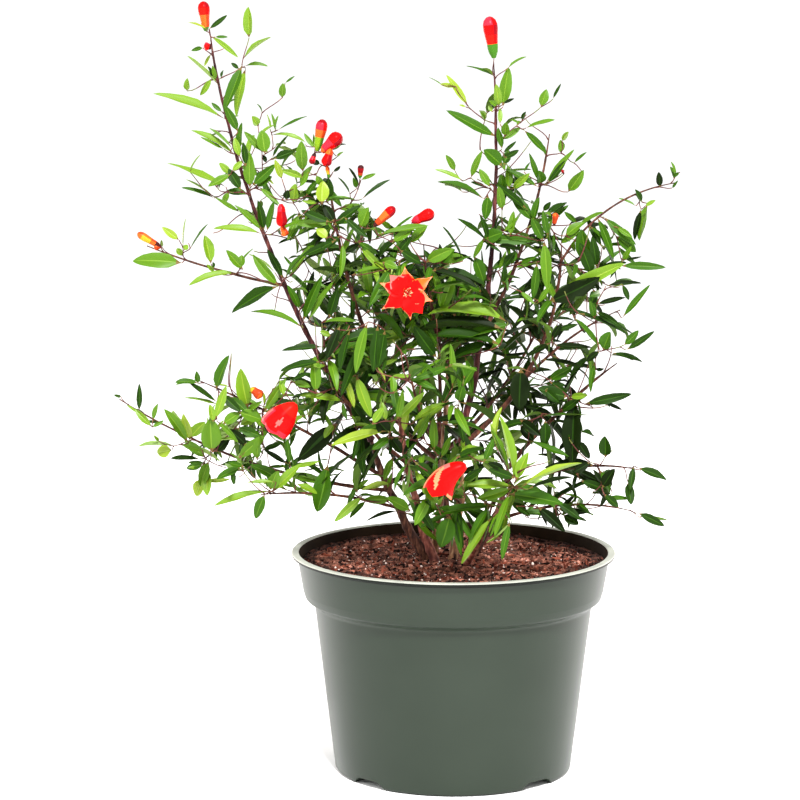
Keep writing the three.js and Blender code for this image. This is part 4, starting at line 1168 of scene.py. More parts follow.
SKY = [
    (310, 187, 7), (334, 188, 5), (343, 196, 6), (365, 185, 7), (331, 258, 6), (319, 277, 6), (318, 300, 7),
    (322, 311, 9), (338, 300, 6), (346, 307, 6), (350, 256, 4), (376, 244, 5), (398, 258, 4), (360, 317, 4),
    (368, 322, 5), (374, 328, 4), (330, 338, 8), (318, 330, 4), (312, 336, 8), (380, 345, 4), (390, 352, 6),
    (385, 357, 4), (367, 348, 4), (372, 286, 3), (408, 342, 4), (410, 386, 5), (422, 346, 4), (443, 344, 3),
    (485, 333, 5), (484, 355, 5), (488, 210, 4), (484, 262, 5), (490, 252, 5), (467, 263, 7), (475, 273, 5),
    (452, 280, 5), (450, 289, 4), (475, 248, 6), (422, 245, 5), (322, 378, 5), (306, 378, 4), (303, 390, 5),
    (357, 368, 6), (400, 361, 5), (372, 388, 4), (378, 385, 4), (420, 394, 4), (440, 386, 5), (418, 358, 6),
    (432, 357, 4), (486, 357, 5), (480, 385, 6), (470, 412, 5), (481, 420, 6), (448, 398, 4), (456, 400, 4),
    (459, 407, 3), (336, 412, 6), (347, 425, 5), (351, 412, 4), (320, 432, 8), (311, 445, 6), (306, 428, 5),
    (375, 404, 5), (413, 418, 5), (426, 434, 7), (422, 446, 5), (340, 446, 5), (352, 443, 5), (335, 458, 7),
    (346, 466, 5), (326, 466, 5), (325, 452, 5), (366, 450, 4), (381, 458, 6), (380, 470, 6), (393, 472, 5),
    (374, 482, 6), (347, 480, 9), (340, 492, 8), (389, 492, 4), (398, 493, 4), (417, 495, 5), (473, 442, 6),
    (490, 441, 5), (491, 457, 6), (468, 465, 5), (466, 482, 6), (476, 479, 6), (484, 474, 4), (484, 497, 6),
    (462, 502, 4), (457, 516, 4), (508, 187, 3), (506, 208, 9), (520, 224, 8), (527, 232, 4), (560, 223, 6),
    (558, 231, 5), (588, 234, 5), (612, 236, 6), (566, 247, 5), (572, 257, 5), (563, 262, 4), (602, 257, 6),
    (594, 258, 3), (578, 266, 3), (493, 256, 6), (510, 260, 7), (521, 253, 7), (532, 256, 6), (516, 270, 6),
    (526, 274, 5), (518, 283, 4), (500, 281, 5), (543, 265, 4), (557, 268, 4), (564, 279, 5), (584, 309, 6),
    (616, 292, 9), (616, 304, 5), (556, 326, 5), (566, 322, 4), (574, 331, 7), (570, 350, 6), (530, 345, 7),
    (513, 346, 3), (521, 351, 3), (513, 318, 4), (521, 325, 4), (551, 314, 4), (518, 303, 5), (512, 293, 4),
    (521, 362, 4), (545, 362, 6), (556, 364, 6), (564, 360, 4), (550, 373, 4), (503, 378, 4), (527, 378, 5),
    (532, 369, 4), (577, 385, 5), (586, 370, 4), (562, 386, 4), (539, 398, 5), (549, 407, 5), (562, 402, 6),
    (505, 425, 4), (520, 436, 4), (532, 425, 4), (555, 434, 6), (557, 444, 4), (529, 455, 9), (535, 447, 4),
    (546, 474, 4), (560, 487, 5), (594, 450, 6), (586, 452, 4), (582, 492, 5), (563, 510, 4), (517, 514, 6),
    (530, 519, 6), (531, 504, 4), (505, 510, 5), (494, 512, 4), (250, 452, 4), (238, 435, 5), (256, 470, 4),
    (300, 452, 6), (296, 440, 4), (232, 460, 3), (226, 456, 4), (244, 476, 5), (274, 454, 5), (302, 240, 5),
    (300, 270, 5), (415, 250, 8), (424, 252, 6), (289, 250, 7), (282, 266, 6), (304, 273, 8), (294, 276, 5),
    (340, 237, 6), (357, 253, 4), (328, 298, 5), (338, 294, 5), (340, 310, 4), (572, 338, 8),
    (575, 353, 10), (560, 352, 6), (565, 368, 5), (592, 503, 9), (584, 494, 5), (516, 458, 7),
    (510, 462, 4), (525, 470, 6), (536, 470, 6), (543, 464, 5), (540, 378, 5), (541, 476, 4), (228, 446, 6),
    (237, 440, 5), (268, 462, 8), (280, 450, 5), (300, 440, 8), (310, 434, 6), (294, 456, 5), (380, 466, 6),
    (290, 385, 6), (296, 390, 5), (306, 394, 5), (292, 374, 5), (303, 380, 5), (345, 452, 5), (342, 492, 6),
    (330, 496, 4), (355, 495, 4), (468, 283, 5), (492, 290, 5), (510, 262, 5), (526, 280, 5), (558, 408, 5),
    (565, 402, 4), (560, 392, 5), (580, 386, 5), (582, 378, 4), (470, 400, 4), (586, 408, 6), (592, 290, 4),
    (300, 210, 5), (308, 208, 4), (334, 204, 5), (426, 442, 5), (388, 240, 3), (516, 515, 5), (548, 518, 5),
    (597, 328, 3), (528, 340, 4), (518, 254, 5), (532, 254, 4), (566, 358, 5), (578, 342, 6),
]

CROWN_MIDDLE = np.array([-5.0, 0.0, 360.0])
# Shoots.
SCATTER_TRIES = 1600
TOO_NEAR_AXIS = 9.0
SHOOT_STEP = 4.0
TURN_COST = 0.9  # how much dearer a shoot grows that has to turn round
CRAMPED, CRAMPED_COST = 3, 50  # a shoot shorter than this costs so much more
EAGERNESS = 0.5  # how far a shoot leaves towards its target rather than straight on
LIFT = 0.35  # how far it turns up at its tip
TWIG_THICK = (0.4, 0.42, 1.0)  # a twig's least radius, what it starts from, and its most
TWIG_GAIN = 0.004  # what each millimetre of wood that it carries adds
TWIG_STEP_DOWN = 0.85  # its most as a share of its parent's
TWIG_TIP = 0.36
TWIG_SIDES = 6
# Leaves.
LEAF_NODE_SPACING = 4.0
WIDE_NODE_SPACING = 7  # along a limb, and along the shoots of leaves and flowers read off the photograph
MISSING = 0.08  # the share of leaves that their pair lacks
OPENING, OPENING_LOST = (38, 66), 14  # a leaf's angle from its shoot, and what that loses to the tip
TUFT_OPENING = (12, 42)
LEAF_SLIMNESS = (0.17, 0.27)  # width as a share of length
SHRINKAGE = 1.16  # what folding and arching take off the width of a leaf
SLIMMEST_LEAF = 0.17  # a leaf that shows slimmer than this share is turned from the viewer
ARCHED = 0.25  # a leaf that arches more than this, in radians, is seen from the side
TONES = 6
# Where leaves may stand.
POT_CLEARANCE = 3.0
SOIL_CLEARANCE = 5
BOX_SLACK = 7.0
DISC = [(down, right) for down in range(-2, 3) for right in range(-2, 3) if down * down + right * right < 6]
BLADE_STRAYS = 2  # how many of a leaf's sampled points may show where the photograph has sky
FLOWER_GAP = 9  # how far behind a flower's middle a leaf read off the photograph stands
OFFER_RING = (4, 38)  # how far from an open spot the twigs stand that offer it a leaf, in pixels
OFFERED_LENGTH = (16, 46)
OFFERS = 18
LEAST_GAIN = 2


def in_outline(u, v, corners):
    """Which points lie inside an outline, by how often a line to the right crosses it."""
    within = np.zeros(np.shape(u), bool)
    for (u0, v0), (u1, v1) in zip(corners, corners[1:] + corners[:1]):
        if v0 != v1:
            crosses = (v0 > v) != (v1 > v)
            within ^= crosses & (u < u0 + (u1 - u0) * (v - v0) / (v1 - v0))
    return within


class Screen:
    """The photograph's frame: where it shows leaf, and where leaves stand by now.

    nearest is how near the leaves stand that were read off it.
    """

    def __init__(self):
        v, u = np.mgrid[0:IMAGE_SIDE, 0:IMAGE_SIDE]
        self.leafy = in_outline(u, v, DENSE)
        for sky_u, sky_v, radius in SKY:
            self.leafy &= (u - sky_u) ** 2 + (v - sky_v) ** 2 > radius**2
        self.nearest = np.full(u.shape, np.inf)
        self.filled = np.zeros(u.shape, bool)

    def spot(self, points):
        u, v = to_pixel(points)
        last = IMAGE_SIDE - 1
        return np.clip(np.rint(v), 0, last).astype(int), np.clip(np.rint(u), 0, last).astype(int)

    def mark_seen(self, samples):
        """Marks a leaf read off the photograph, with a margin that leaves behind it may fill."""
        rows, columns = self.spot(samples)
        for down, right in DISC:
            place = (rows + down, columns + right)
            self.leafy[place] = True
            self.nearest[place] = np.minimum(self.nearest[place], samples[..., 1])

    def fill(self, samples):
        rows, columns = self.spot(samples)
        for down, right in DISC:
            self.filled[rows + down, columns + right] = True

    def admits(self, samples):
        """Which points show where the photograph has leaf, and aren't in front of a leaf read off it."""
        place = self.spot(samples)
        nearest = self.nearest[place]
        return self.leafy[place] & ((samples[..., 1] > nearest) | np.isinf(nearest))


def inside(points, corners, faces):
    """Which points lie in a closed mesh, by the solid angle its faces fill."""
    total = np.zeros(len(points))
    for a, b, c in corners[faces]:
        a, b, c = a - points, b - points, c - points
        la, lb, lc = (np.linalg.norm(v, axis=1) for v in (a, b, c))
        top = np.sum(a * np.cross(b, c), axis=1)
        bottom = la * lb * lc + np.sum(a * b, 1) * lc + np.sum(b * c, 1) * la + np.sum(c * a, 1) * lb
        total += 2 * np.arctan2(top, bottom)
    return np.abs(total) > 2 * np.pi


def scatter(name, spacing, rng):
    """Points through a mass, no two nearer than the spacing."""
    mesh = NODES[f"foliage_{name}"].data
    mesh.calc_loop_triangles()
    corners = np.array([v.co for v in mesh.vertices]) / MM
    faces = np.array([t.vertices for t in mesh.loop_triangles])
    tries = rng.uniform(corners.min(0), corners.max(0), (SCATTER_TRIES, 3))
    tries = tries[inside(tries, corners, faces)]
    kept = tries[:1]
    for point in tries[1:]:
        if np.linalg.norm(kept - point, axis=1).min() >= spacing:
            kept = np.vstack([kept, point])
    return kept


class Growth:
    """One mass growing: skeleton points with their directions, and the shoots that they belong to."""

    def __init__(self, name, rng):
        limb, start, end, *_ = MASSES[name]
        self.rng = rng
        end = min(end, BARE_ENDS.get(limb, 1.0))
        count = max(8, int((end - start) * PATHS[limb][3] / SHOOT_STEP))
        axis = np.array([on_limb(limb, t) for t in np.linspace(start, end, count)])
        self.points = axis
        self.directions = unit(np.gradient(axis, axis=0))
        self.owner = np.full(len(axis), -1)
        self.axis = axis
        self.shoots = []
        self.parents = []

    def reach(self, target):
        """Grows a shoot to the target from the skeleton point that serves it best."""
        away = target - self.points
        distance = np.linalg.norm(away, axis=1)
        forward = np.sum(away * self.directions, axis=1) / np.maximum(distance, 1e-6)
        cost = distance * (1 + TURN_COST * (1 - forward)) + np.where(distance < CRAMPED, CRAMPED_COST, 0)
        best = int(np.argmin(cost))
        start, ahead, gap = self.points[best], self.directions[best], distance[best]
        aim = unit(away[best])
        leave = unit(ahead * (1 - EAGERNESS) + aim * EAGERNESS + self.rng.normal(0, 0.08, 3))
        arrive = unit(aim + UP * LIFT + self.rng.normal(0, 0.1, 3))
        handles = np.array([start, start + leave * gap / 3, target - arrive * gap / 3, target])
        t = np.linspace(0, 1, max(4, int(gap / SHOOT_STEP) + 2))[:, None]
        weights = np.hstack([(1 - t) ** 3, 3 * t * (1 - t) ** 2, 3 * t**2 * (1 - t), t**3])
        points = weights @ handles
        self.shoots.append(points)
        self.parents.append(int(self.owner[best]))
        number = len(self.shoots) - 1
        self.points = np.vstack([self.points, points[1:]])
        self.directions = np.vstack([self.directions, unit(np.gradient(points, axis=0))[1:]])
        self.owner = np.concatenate([self.owner, np.full(len(points) - 1, number)])
        return number

    def carried(self):
        """The length of wood that each shoot carries, its own and that of the shoots on it."""
        total = [np.linalg.norm(np.diff(p, axis=0), axis=1).sum() for p in self.shoots]
        for number in range(len(self.shoots) - 1, -1, -1):
            if self.parents[number] >= 0:
                total[self.parents[number]] += total[number]
        return total


def add_leaf_pairs(leaves, points, size, tone, rng, first=0.3, spacing=LEAF_NODE_SPACING, tip=True):
    """Opposite leaves along a shoot, each pair a quarter turn from the last, and a tuft at its tip."""
    run = np.concatenate([[0], np.cumsum(np.linalg.norm(np.diff(points, axis=0), axis=1))])
    ahead, across, over = frames(points)
    length = run[-1]
    at = max(length * first, 4.0)
    turn = rng.uniform(0, np.pi)
    outward = unit(points[-1] - CROWN_MIDDLE)
    while at < length - 3:
        k = min(int(np.searchsorted(run, at)), len(points) - 1)
        share = (at - run[k - 1]) / (run[k] - run[k - 1])
        base = points[k - 1] + (points[k] - points[k - 1]) * share
        near_tip = at / length
        for half in (0, 1):
            if rng.uniform() < MISSING:
                continue
            angle = turn + np.pi * half + rng.normal(0, 0.25)
            out = across[k] * math.cos(angle) + over[k] * math.sin(angle)
            opening = math.radians(rng.uniform(*OPENING) - OPENING_LOST * near_tip)
            along = ahead[k] * math.cos(opening) + out * math.sin(opening) - UP * rng.uniform(0, 0.25)
            add_one(leaves, base, along, ahead[k], outward, size * (1.06 - 0.28 * near_tip), tone, rng)
        at += spacing * rng.uniform(0.75, 1.25)
        turn += np.pi / 2 + rng.normal(0, 0.2)
    if tip:
        for k in range(rng.integers(2, 5)):
            angle = turn + k * 2.2 + rng.normal(0, 0.3)
            out = across[-1] * math.cos(angle) + over[-1] * math.sin(angle)
            opening = math.radians(rng.uniform(*TUFT_OPENING))
            along = ahead[-1] * math.cos(opening) + out * math.sin(opening)
            small = size * rng.uniform(0.55, 0.9)
            add_one(leaves, points[-1], along, ahead[-1], outward, small, tone + 0.7, rng)


def whole_tone(tone):
    return int(np.clip(round(tone), 0, TONES - 1))


def add_one(leaves, base, along, ahead, outward, size, tone, rng):
    """One leaf of a shoot. Its upper side is turned up, along the shoot, outwards and at random."""
    length = size * rng.uniform(0.72, 1.22)
    width = length * rng.uniform(*LEAF_SLIMNESS)
    face = UP * 0.75 + ahead * 0.35 + outward * 0.3 + TOWARDS_VIEWER * 0.1 + rng.normal(0, 0.42, 3)
    droop = rng.uniform(0.1, 1.3)
    leaves.add(base, along, face, length, width, droop, whole_tone(tone + rng.normal(0, 0.8)))


def is_clear(samples, flowers, screen):
    """Which leaves, by their sampled points, stay clear of the pot, the soil and the flowers' faces.

    They also stay inside the CAD's box, and where the photograph shows leaf.
    """
    low = np.array(CAD_BOX[0]) / MM - BOX_SLACK
    high = np.array(CAD_BOX[1]) / MM + BOX_SLACK
    samples = samples.reshape(len(samples), -1, 3)
    r = np.hypot(samples[..., 0], samples[..., 1])
    in_pot = (r < LIP_RADIUS + POT_CLEARANCE) & (samples[..., 2] < SOIL_LEVEL + SOIL_CLEARANCE)
    good = ~in_pot.any(axis=1) & np.all((samples > low) & (samples < high), axis=(1, 2))
    good &= (~screen.admits(samples)).sum(axis=1) <= BLADE_STRAYS
    u, v = to_pixel(samples)
    for place, radius in flowers:
        flower_u, flower_v = to_pixel(place)
        hides = (np.hypot(u - flower_u, v - flower_v) < radius) & (samples[..., 1] < place[1] + 4)
        good &= ~hides.any(axis=1)
    return good


def place_seen(name, flowers, rng):
    """A mass's leaves that were read off the photograph, as (base, tip, width, tone, arch).

    Those whose place in the picture a flower takes stand behind it.
    """
    limb, start, end, _, _, _, front = MASSES[name]
    axis = np.array([on_limb(limb, t) for t in np.linspace(start, end, 60)])
    axis_u, axis_v = to_pixel(axis)
    placed = []
    for u, v, tip_u, tip_v, width, tone, *arch in SEEN.get(name, []):
        depth = axis[np.argmin(np.hypot(axis_u - u, axis_v - v)), 1] - front + rng.uniform(-6, 6)
        for flower in flowers:
            flower_u, flower_v = to_pixel(flower["middle"])
            along_u, along_v = (np.array([u, (u + tip_u) / 2, tip_u]), np.array([v, (v + tip_v) / 2, tip_v]))
            if np.hypot(along_u - flower_u, along_v - flower_v).min() < flower["radius"]:
                depth = max(depth, flower["middle"][1] + FLOWER_GAP)
        base = at_pixel(u, v, depth)
        tip = at_pixel(tip_u, tip_v, depth + rng.uniform(-9, 5))
        placed.append((base, tip, width, tone, arch[0] if arch else rng.uniform(0.02, ARCHED)))
    return placed


def add_seen(leaves, base, tip, width, tone, arch, rng):
    """A leaf whose ends and width show as given. One that shows slim for its length is turned edge-on."""
    along = tip - base
    length = np.linalg.norm(along)
    along = unit(along)
    flat = square_to(TOWARDS_VIEWER, along)
    edge = np.cross(flat, along)
    edge = edge if edge[2] > 0 else -edge
    full = max(width, SLIMMEST_LEAF * length)
    turn = math.acos(width / full) + rng.uniform(0, 0.35)
    full *= SHRINKAGE
    if arch > ARCHED:
        turn = max(turn, 0.9)
    face = flat * math.cos(turn) + edge * math.sin(turn)
    start = along * math.cos(arch / 2) + face * math.sin(arch / 2)
    leaves.add(base, start, face, length * (1 + arch**2 / 24), full, arch, tone)


def grow_mass(index, name, flowers, placed, screen):
    """Grows a mass's shoots and the leaves on them. placed are the leaves read off the photograph."""
    rng = np.random.default_rng([SEED, index])
    _, _, _, spacing, size, tone, _ = MASSES[name]
    growth = Growth(name, rng)
    leaves = Leaves()
    spread = scatter(name, spacing, rng)
    tips = [(point, None) for point in spread[screen.admits(spread)]]
    tips += [(np.array(row[0:3]), "leaf") for row in placed.rows]
    tips += [(f["stalk"], "flower") for f in flowers if f["mass"] == name]
    from_axis = [np.linalg.norm(growth.axis - point, axis=1).min() for point, _ in tips]
    for k in np.argsort(from_axis):
        point, what = tips[k]
        if what is None and from_axis[k] < TOO_NEAR_AXIS:
            continue
        number = growth.reach(point)
        shoot_tone = tone + rng.normal(0, 0.7)
        far = from_axis[k] / max(from_axis)
        # Shoots far from the limb get lighter leaves, partly as younger growth and partly as painted light;
        # shoots further back get darker ones, as painted shade.
        shoot_tone += 1.1 * (far - 0.55) - 0.004 * (point[1] + 20)
        if what is None:
            add_leaf_pairs(leaves, growth.shoots[number], size, shoot_tone, rng)
        else:
            shoot = growth.shoots[number]
            add_leaf_pairs(leaves, shoot, size * 0.8, shoot_tone, rng, 0.4, WIDE_NODE_SPACING, False)
    add_leaf_pairs(leaves, growth.axis, size, tone, rng, 0.1, WIDE_NODE_SPACING)
    faces = [(f["middle"], f["radius"]) for f in flowers]
    leaves.keep(is_clear(leaves.samples(), faces, screen))
    screen.fill(leaves.samples())
    leaves.rows += placed.rows
    return growth, leaves


def reach_light(growths, crown, flowers, screen):
    """Adds leaves on the shoots wherever the photograph shows leaf and none stands yet.

    Each open spot is offered leaves from the twigs round it, and takes the one that covers most of what is
    open and least of the sky.
    """
    rng = np.random.default_rng([SEED, LIGHT_DRAWS])
    names = list(growths)
    twigs = np.concatenate([growths[name].points for name in names])
    owners = np.repeat(np.arange(len(names)), [len(growths[name].points) for name in names])
    twig_u, twig_v = to_pixel(twigs)
    faces = [(f["middle"], f["radius"]) for f in flowers]
    spots = np.argwhere(screen.leafy & ~screen.filled)
    rng.shuffle(spots)
    for row, column in spots:
        if screen.filled[row, column]:
            continue
        gap = np.hypot(twig_u - column, twig_v - row)
        near = np.flatnonzero((gap > OFFER_RING[0]) & (gap < OFFER_RING[1]))
        if not len(near):
            continue
        offers = Leaves()
        chosen = rng.choice(near, OFFERS)
        for k in chosen:
            aim = at_pixel(column, row, twigs[k][1] + rng.uniform(-8, 4)) - twigs[k]
            length = np.clip(np.linalg.norm(aim) * rng.uniform(1.05, 2.2), *OFFERED_LENGTH)
            face = UP * 0.6 + TOWARDS_VIEWER * 0.45 + rng.normal(0, 0.45, 3)
            # Painted shade: a leaf that fills a gap is half a tone darker than its mass, and darker the
            # further back it stands.
            tone = MASSES[names[owners[k]]][5] - 0.5 - 0.006 * (twigs[k][1] + 20) + rng.normal(0, 0.7)
            droop = rng.uniform(0.1, 1.0)
            aim = unit(aim) + square_to(face, unit(aim)) * droop * 0.35
            width = length * rng.uniform(*LEAF_SLIMNESS)
            offers.add(twigs[k], aim, face, length, width, droop, whole_tone(tone))
        samples = offers.samples()
        place = screen.spot(samples)
        gain = (screen.leafy[place] & ~screen.filled[place]).sum(axis=(1, 2))
        gain = np.where(is_clear(samples, faces, screen), gain, 0)
        best = int(np.argmax(gain))
        if gain[best] >= LEAST_GAIN:
            crown[names[owners[chosen[best]]]].rows.append(offers.rows[best])
            screen.fill(samples[best : best + 1])


def make_leaves(name, leaves, rng):
    shape = Shape()
    leaves.add_to(shape, rng)
    piece = shape.build(f"leaves_{name}", LEAF_MATERIALS, LEAF_SHARP)
    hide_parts(f"foliage_{name}")


def add_twigs(shape, growth, rng):
    """A tube for each shoot, the thicker the more wood it carries, and greener or pinker at its tip."""
    least, start, most = TWIG_THICK
    carried = growth.carried()
    radii = []
    for number, points in enumerate(growth.shoots):
        thick = min(start + TWIG_GAIN * carried[number], most)
        parent = growth.parents[number]
        if parent >= 0:
            thick = min(thick, radii[parent] * TWIG_STEP_DOWN)
        thick = max(thick, least)
        radii.append(thick)
        share = np.linspace(0, 1, len(points))
        radius = thick + (TWIG_TIP - thick) * share**0.8
        radius[0] *= 1.25
        old = 0 if thick > 0.85 else 1
        tip = 3 if rng.uniform() < 0.45 else 2
        slots = np.where(share[:-1] < 0.5 + 0.3 * rng.uniform(), old, tip)
        add_tube(shape, points, radius, TWIG_SIDES, slots)


# ---------------------------------------------------------------- blossom
TURNED_SIDES = 24
RIBS, RIB_DEPTH = 6, 0.06


def add_turned(shape, base, axis, profile, slots):
    """A bud or tube turned about its own axis, with a ribbed skin. profile rows are (distance, radius).

    slots holds a colour for each step of the profile. The side turned from the light takes SHADED of it.
    """
    axis = unit(axis)
    across = square_to(UP if abs(axis[2]) < 0.9 else np.array([1.0, 0, 0]), axis)
    over = np.cross(axis, across)
    angle = 2 * np.pi * (np.arange(TURNED_SIDES) + 0.5) / TURNED_SIDES
    groove = 1 - RIB_DEPTH * (0.5 + 0.5 * np.cos(RIBS * angle))
    ring = np.cos(angle)[:, None] * across + np.sin(angle)[:, None] * over
    rings = [base + axis * distance + ring * (radius * groove)[:, None] for distance, radius in profile]
    quads, fans = skin(len(profile), TURNED_SIDES)
    last = base + axis * (profile[-1][0] + 0.3 * profile[-1][1])
    shaded = ring @ unit([1.0, -0.2, -0.2]) > 0.35
    table = np.where(shaded, np.array(SHADED)[slots][:, None], np.array(slots)[:, None])
    fan_slots = np.concatenate([table[0], table[-1]])
    shape.add(np.vstack([base, *rings, last]), (quads, table.ravel()), (fans, fan_slots))


CUP_RINGS = 24
LOBE_SIDES = 12
CUP_SPIN = np.array([0.0, -1.0, 0.3])  # the side of a cup that its colours are counted from
CUP_RISE = unit(VIEW_UP - VIEW_RIGHT)  # the way it bows
BUD_PROFILE = np.array(
    [
        (0.0, 0.28), (0.06, 0.42), (0.14, 0.62), (0.24, 0.72), (0.34, 0.74), (0.44, 0.80),
        (0.56, 0.90), (0.68, 0.99), (0.80, 0.98), (0.90, 0.80), (0.97, 0.42),
    ]
)


def add_bud(shape, base, tip, width, colours):
    """A bud: a narrow foot, a faint waist, and a swollen head whose six lobes are still shut."""
    length = np.linalg.norm(tip - base)
    profile = BUD_PROFILE * np.array([length, width / 2])
    steps = len(profile) - 1
    slots = [colours[min(int(k / steps * len(colours)), len(colours) - 1)] for k in range(steps)]
    add_turned(shape, base, tip - base, profile, slots)


def add_cup(shape, base, axis, rows, lobes, point, thickness, bow, colour):
    """A flower's cup with a lobed rim and a thick skin.

    rows are (distance, radius) from the stalk to the rim, point is how far the lobes stand out past it, bow
    how far the cup's middle lies from a straight line, and colour(share along, share of a turn) gives the
    slot.
    """
    bow = bow * CUP_RISE
    axis = unit(axis)
    total = rows[-1][0]
    reaches = total * np.linspace(0, 1, CUP_RINGS)
    rows = np.stack([reaches, np.interp(reaches, *np.transpose(rows))], axis=-1)
    across = square_to(CUP_SPIN, axis)
    over = np.cross(axis, across)
    sides = lobes * LOBE_SIDES
    angle = 2 * np.pi * np.arange(sides) / sides
    lobe = 2 * np.abs((angle * lobes / (2 * np.pi)) % 1 - 0.5)
    steps = np.linspace(0, 1, len(rows))
    ring = np.cos(angle)[:, None] * across + np.sin(angle)[:, None] * over
    outer, inner = [], []
    for share, (distance, radius) in zip(steps, rows):
        out = point * (1.6 * lobe - 0.6) * max(0, (share - 0.55) / 0.45) ** 1.5
        wide = radius * (1 - 0.10 * (1 - lobe) * share)
        lean = (bow * 4 * (1 - 2 * share) / total) @ axis * axis
        ahead = unit(axis + bow * 4 * (1 - 2 * share) / total - lean)
        middle = base + axis * distance + bow * 4 * share * (1 - share)
        leant = ring - (ring @ ahead)[:, None] * ahead
        outer.append(middle + ahead * out[:, None] + leant * wide[:, None])
        thin = np.maximum(wide - thickness, 0.05 * wide)
        inner.append(middle + ahead * (out[:, None] + thickness * 0.4 * (1 - share)) + leant * thin[:, None])
    rings = outer + inner[::-1]
    quads, fans = skin(len(rings), sides)
    slots = []
    for k in range(len(rings) - 1):
        share = min(k, len(rings) - 2 - k) / (len(rows) - 1)
        slots += [colour(share, x / sides) for x in range(sides)]
    last = base + axis * (rows[0][0] + thickness)
    shape.add(np.vstack([base, *rings, last]), (quads, slots), (fans, RED))


STAR_AXIS = unit([0.05, -1.0, 0.12])
STAR_SPIN = np.array([1.0, 0.0, 0.05])
STAR_RADIUS = 19
STAR_TUBE = [(0, 1.4), (2, 2.2), (5, 3.8), (8, 4.4), (11, 4.6), (13.5, 6.2), (14.6, 7.8)]
STAR_DEPTH = 15  # how far its stalk's end lies behind its middle
STAR_STATIONS = np.linspace(0, 1, 11)
POINTED, BLUNT = 2.6, 5
# Angle round the axis in degrees, length and width as shares of the radius, how its end tapers, and from
# which of its steps on it is which other colour than red.
STAR_LOBES = [
    (92, 1.0, 0.66, POINTED, 5, ORANGE),
    (30, 1.16, 0.56, POINTED, 3, ORANGE),
    (-20, 1.02, 0.60, POINTED, 3, PEACH),
    (-56, 0.98, 0.86, BLUNT, 9, SCARLET),
    (-85, 1.02, 0.62, POINTED, 9, SCARLET),
    (-150, 1.13, 0.64, POINTED, 8, ORANGE),
    (157, 1.10, 0.62, POINTED, 6, PEACH),
    # This lobe's rose is a painted highlight.
    (131, 0.95, 0.70, BLUNT, 5, ROSE_HIGHLIGHT),
]
LOBE_BACK, LOBE_FRONT = (-0.6, 0, 0.6), (1, 0.8, 0, -0.8, -1)  # a lobe's columns, in half-widths
# How far a lobe's rim turns up, in half-widths, and how far the lobe stands before the others.
CUPPED = {POINTED: 0.3, BLUNT: 0.12}
RAISED = {POINTED: 0, BLUNT: 1.4}
STAMENS = 34
STAMEN_SPREAD = 4.2
STAMEN_RADII = [0.2, 0.18, 0.16]
STAMEN_SIDES = 5


def add_lobe(shape, middle, across, over, row):
    """One fleshy lobe of the open flower, by its row of STAR_LOBES."""
    degrees, long, wide, taper, change, outer_colour = row
    turn = math.radians(degrees)
    out = across * math.cos(turn) + over * math.sin(turn)
    side = np.cross(STAR_AXIS, out)
    length = STAR_RADIUS * long
    rings = []
    for t in STAR_STATIONS:
        swell = 0.62 + 0.5 * math.sin(math.pi * min(t * 1.25, 1)) ** 0.8
        half = max(STAR_RADIUS * wide * 0.5 * swell * (1 - t**taper), 0.25)
        cupped = CUPPED[taper] * half * min(t * 1.8, 1)
        raised = RAISED[taper] * min(t * 3, 1)
        centre = middle + out * (2 + (length - 2) * t) + STAR_AXIS * (1.6 - 3.2 * t**2 + raised)
        ring = [centre + side * half * x - STAR_AXIS * (1.5 - t) for x in LOBE_BACK]
        ring += [centre + side * half * x + STAR_AXIS * cupped * abs(x) ** 1.5 for x in LOBE_FRONT]
        rings.append(ring)
    columns = len(LOBE_BACK) + len(LOBE_FRONT)
    quads, fans = skin(len(rings), columns)
    slots = []
    for k in range(len(rings) - 1):
        for strip in range(columns):
            behind = strip < 2 or strip > 6
            rim = taper == POINTED and k > 5 and (k > 8 or strip in (3, 6))
            inside = RED if k < change + 2 * (strip in (4, 5)) else outer_colour
            slots.append(ORANGE if behind else PEACH if rim else inside)
    first = middle + STAR_AXIS * 0.2
    last = rings[-1][5] + out * 0.8
    shape.add(np.vstack([first, np.array(rings).reshape(-1, 3), last]), (quads, slots), (fans, ORANGE))


def add_star(shape, middle):
    """The open flower: a tube behind, fleshy lobes spread wide, and stamens."""
    axis = STAR_AXIS
    across = square_to(STAR_SPIN, axis)
    over = np.cross(axis, across)
    rng = np.random.default_rng([SEED, STAR_DRAWS])
    colours = [YELLOW, ORANGE, ORANGE, SCARLET, RED, RED]
    add_turned(shape, middle - axis * STAR_DEPTH, axis, STAR_TUBE, colours)
    for row in STAR_LOBES:
        add_lobe(shape, middle, across, over, row)
    for _ in range(STAMENS):
        r = STAMEN_SPREAD * math.sqrt(rng.uniform())
        turn = rng.uniform(0, 2 * np.pi)
        out = across * math.cos(turn) + over * math.sin(turn)
        foot = middle + out * r * 0.5 + axis * 0.8
        head = middle + out * r + axis * rng.uniform(3.0, 5.5)
        points = np.array([foot, foot * 0.5 + head * 0.5 + axis * 0.5, head])
        colour = PALE if rng.uniform() < 0.5 else RUST
        add_tube(shape, points, STAMEN_RADII, STAMEN_SIDES, colour)
        size = rng.uniform(0.35, 0.55, (1, 3))
        add_lumps(shape, head[None] + axis * 0.2, size, np.array([colour]), rng)


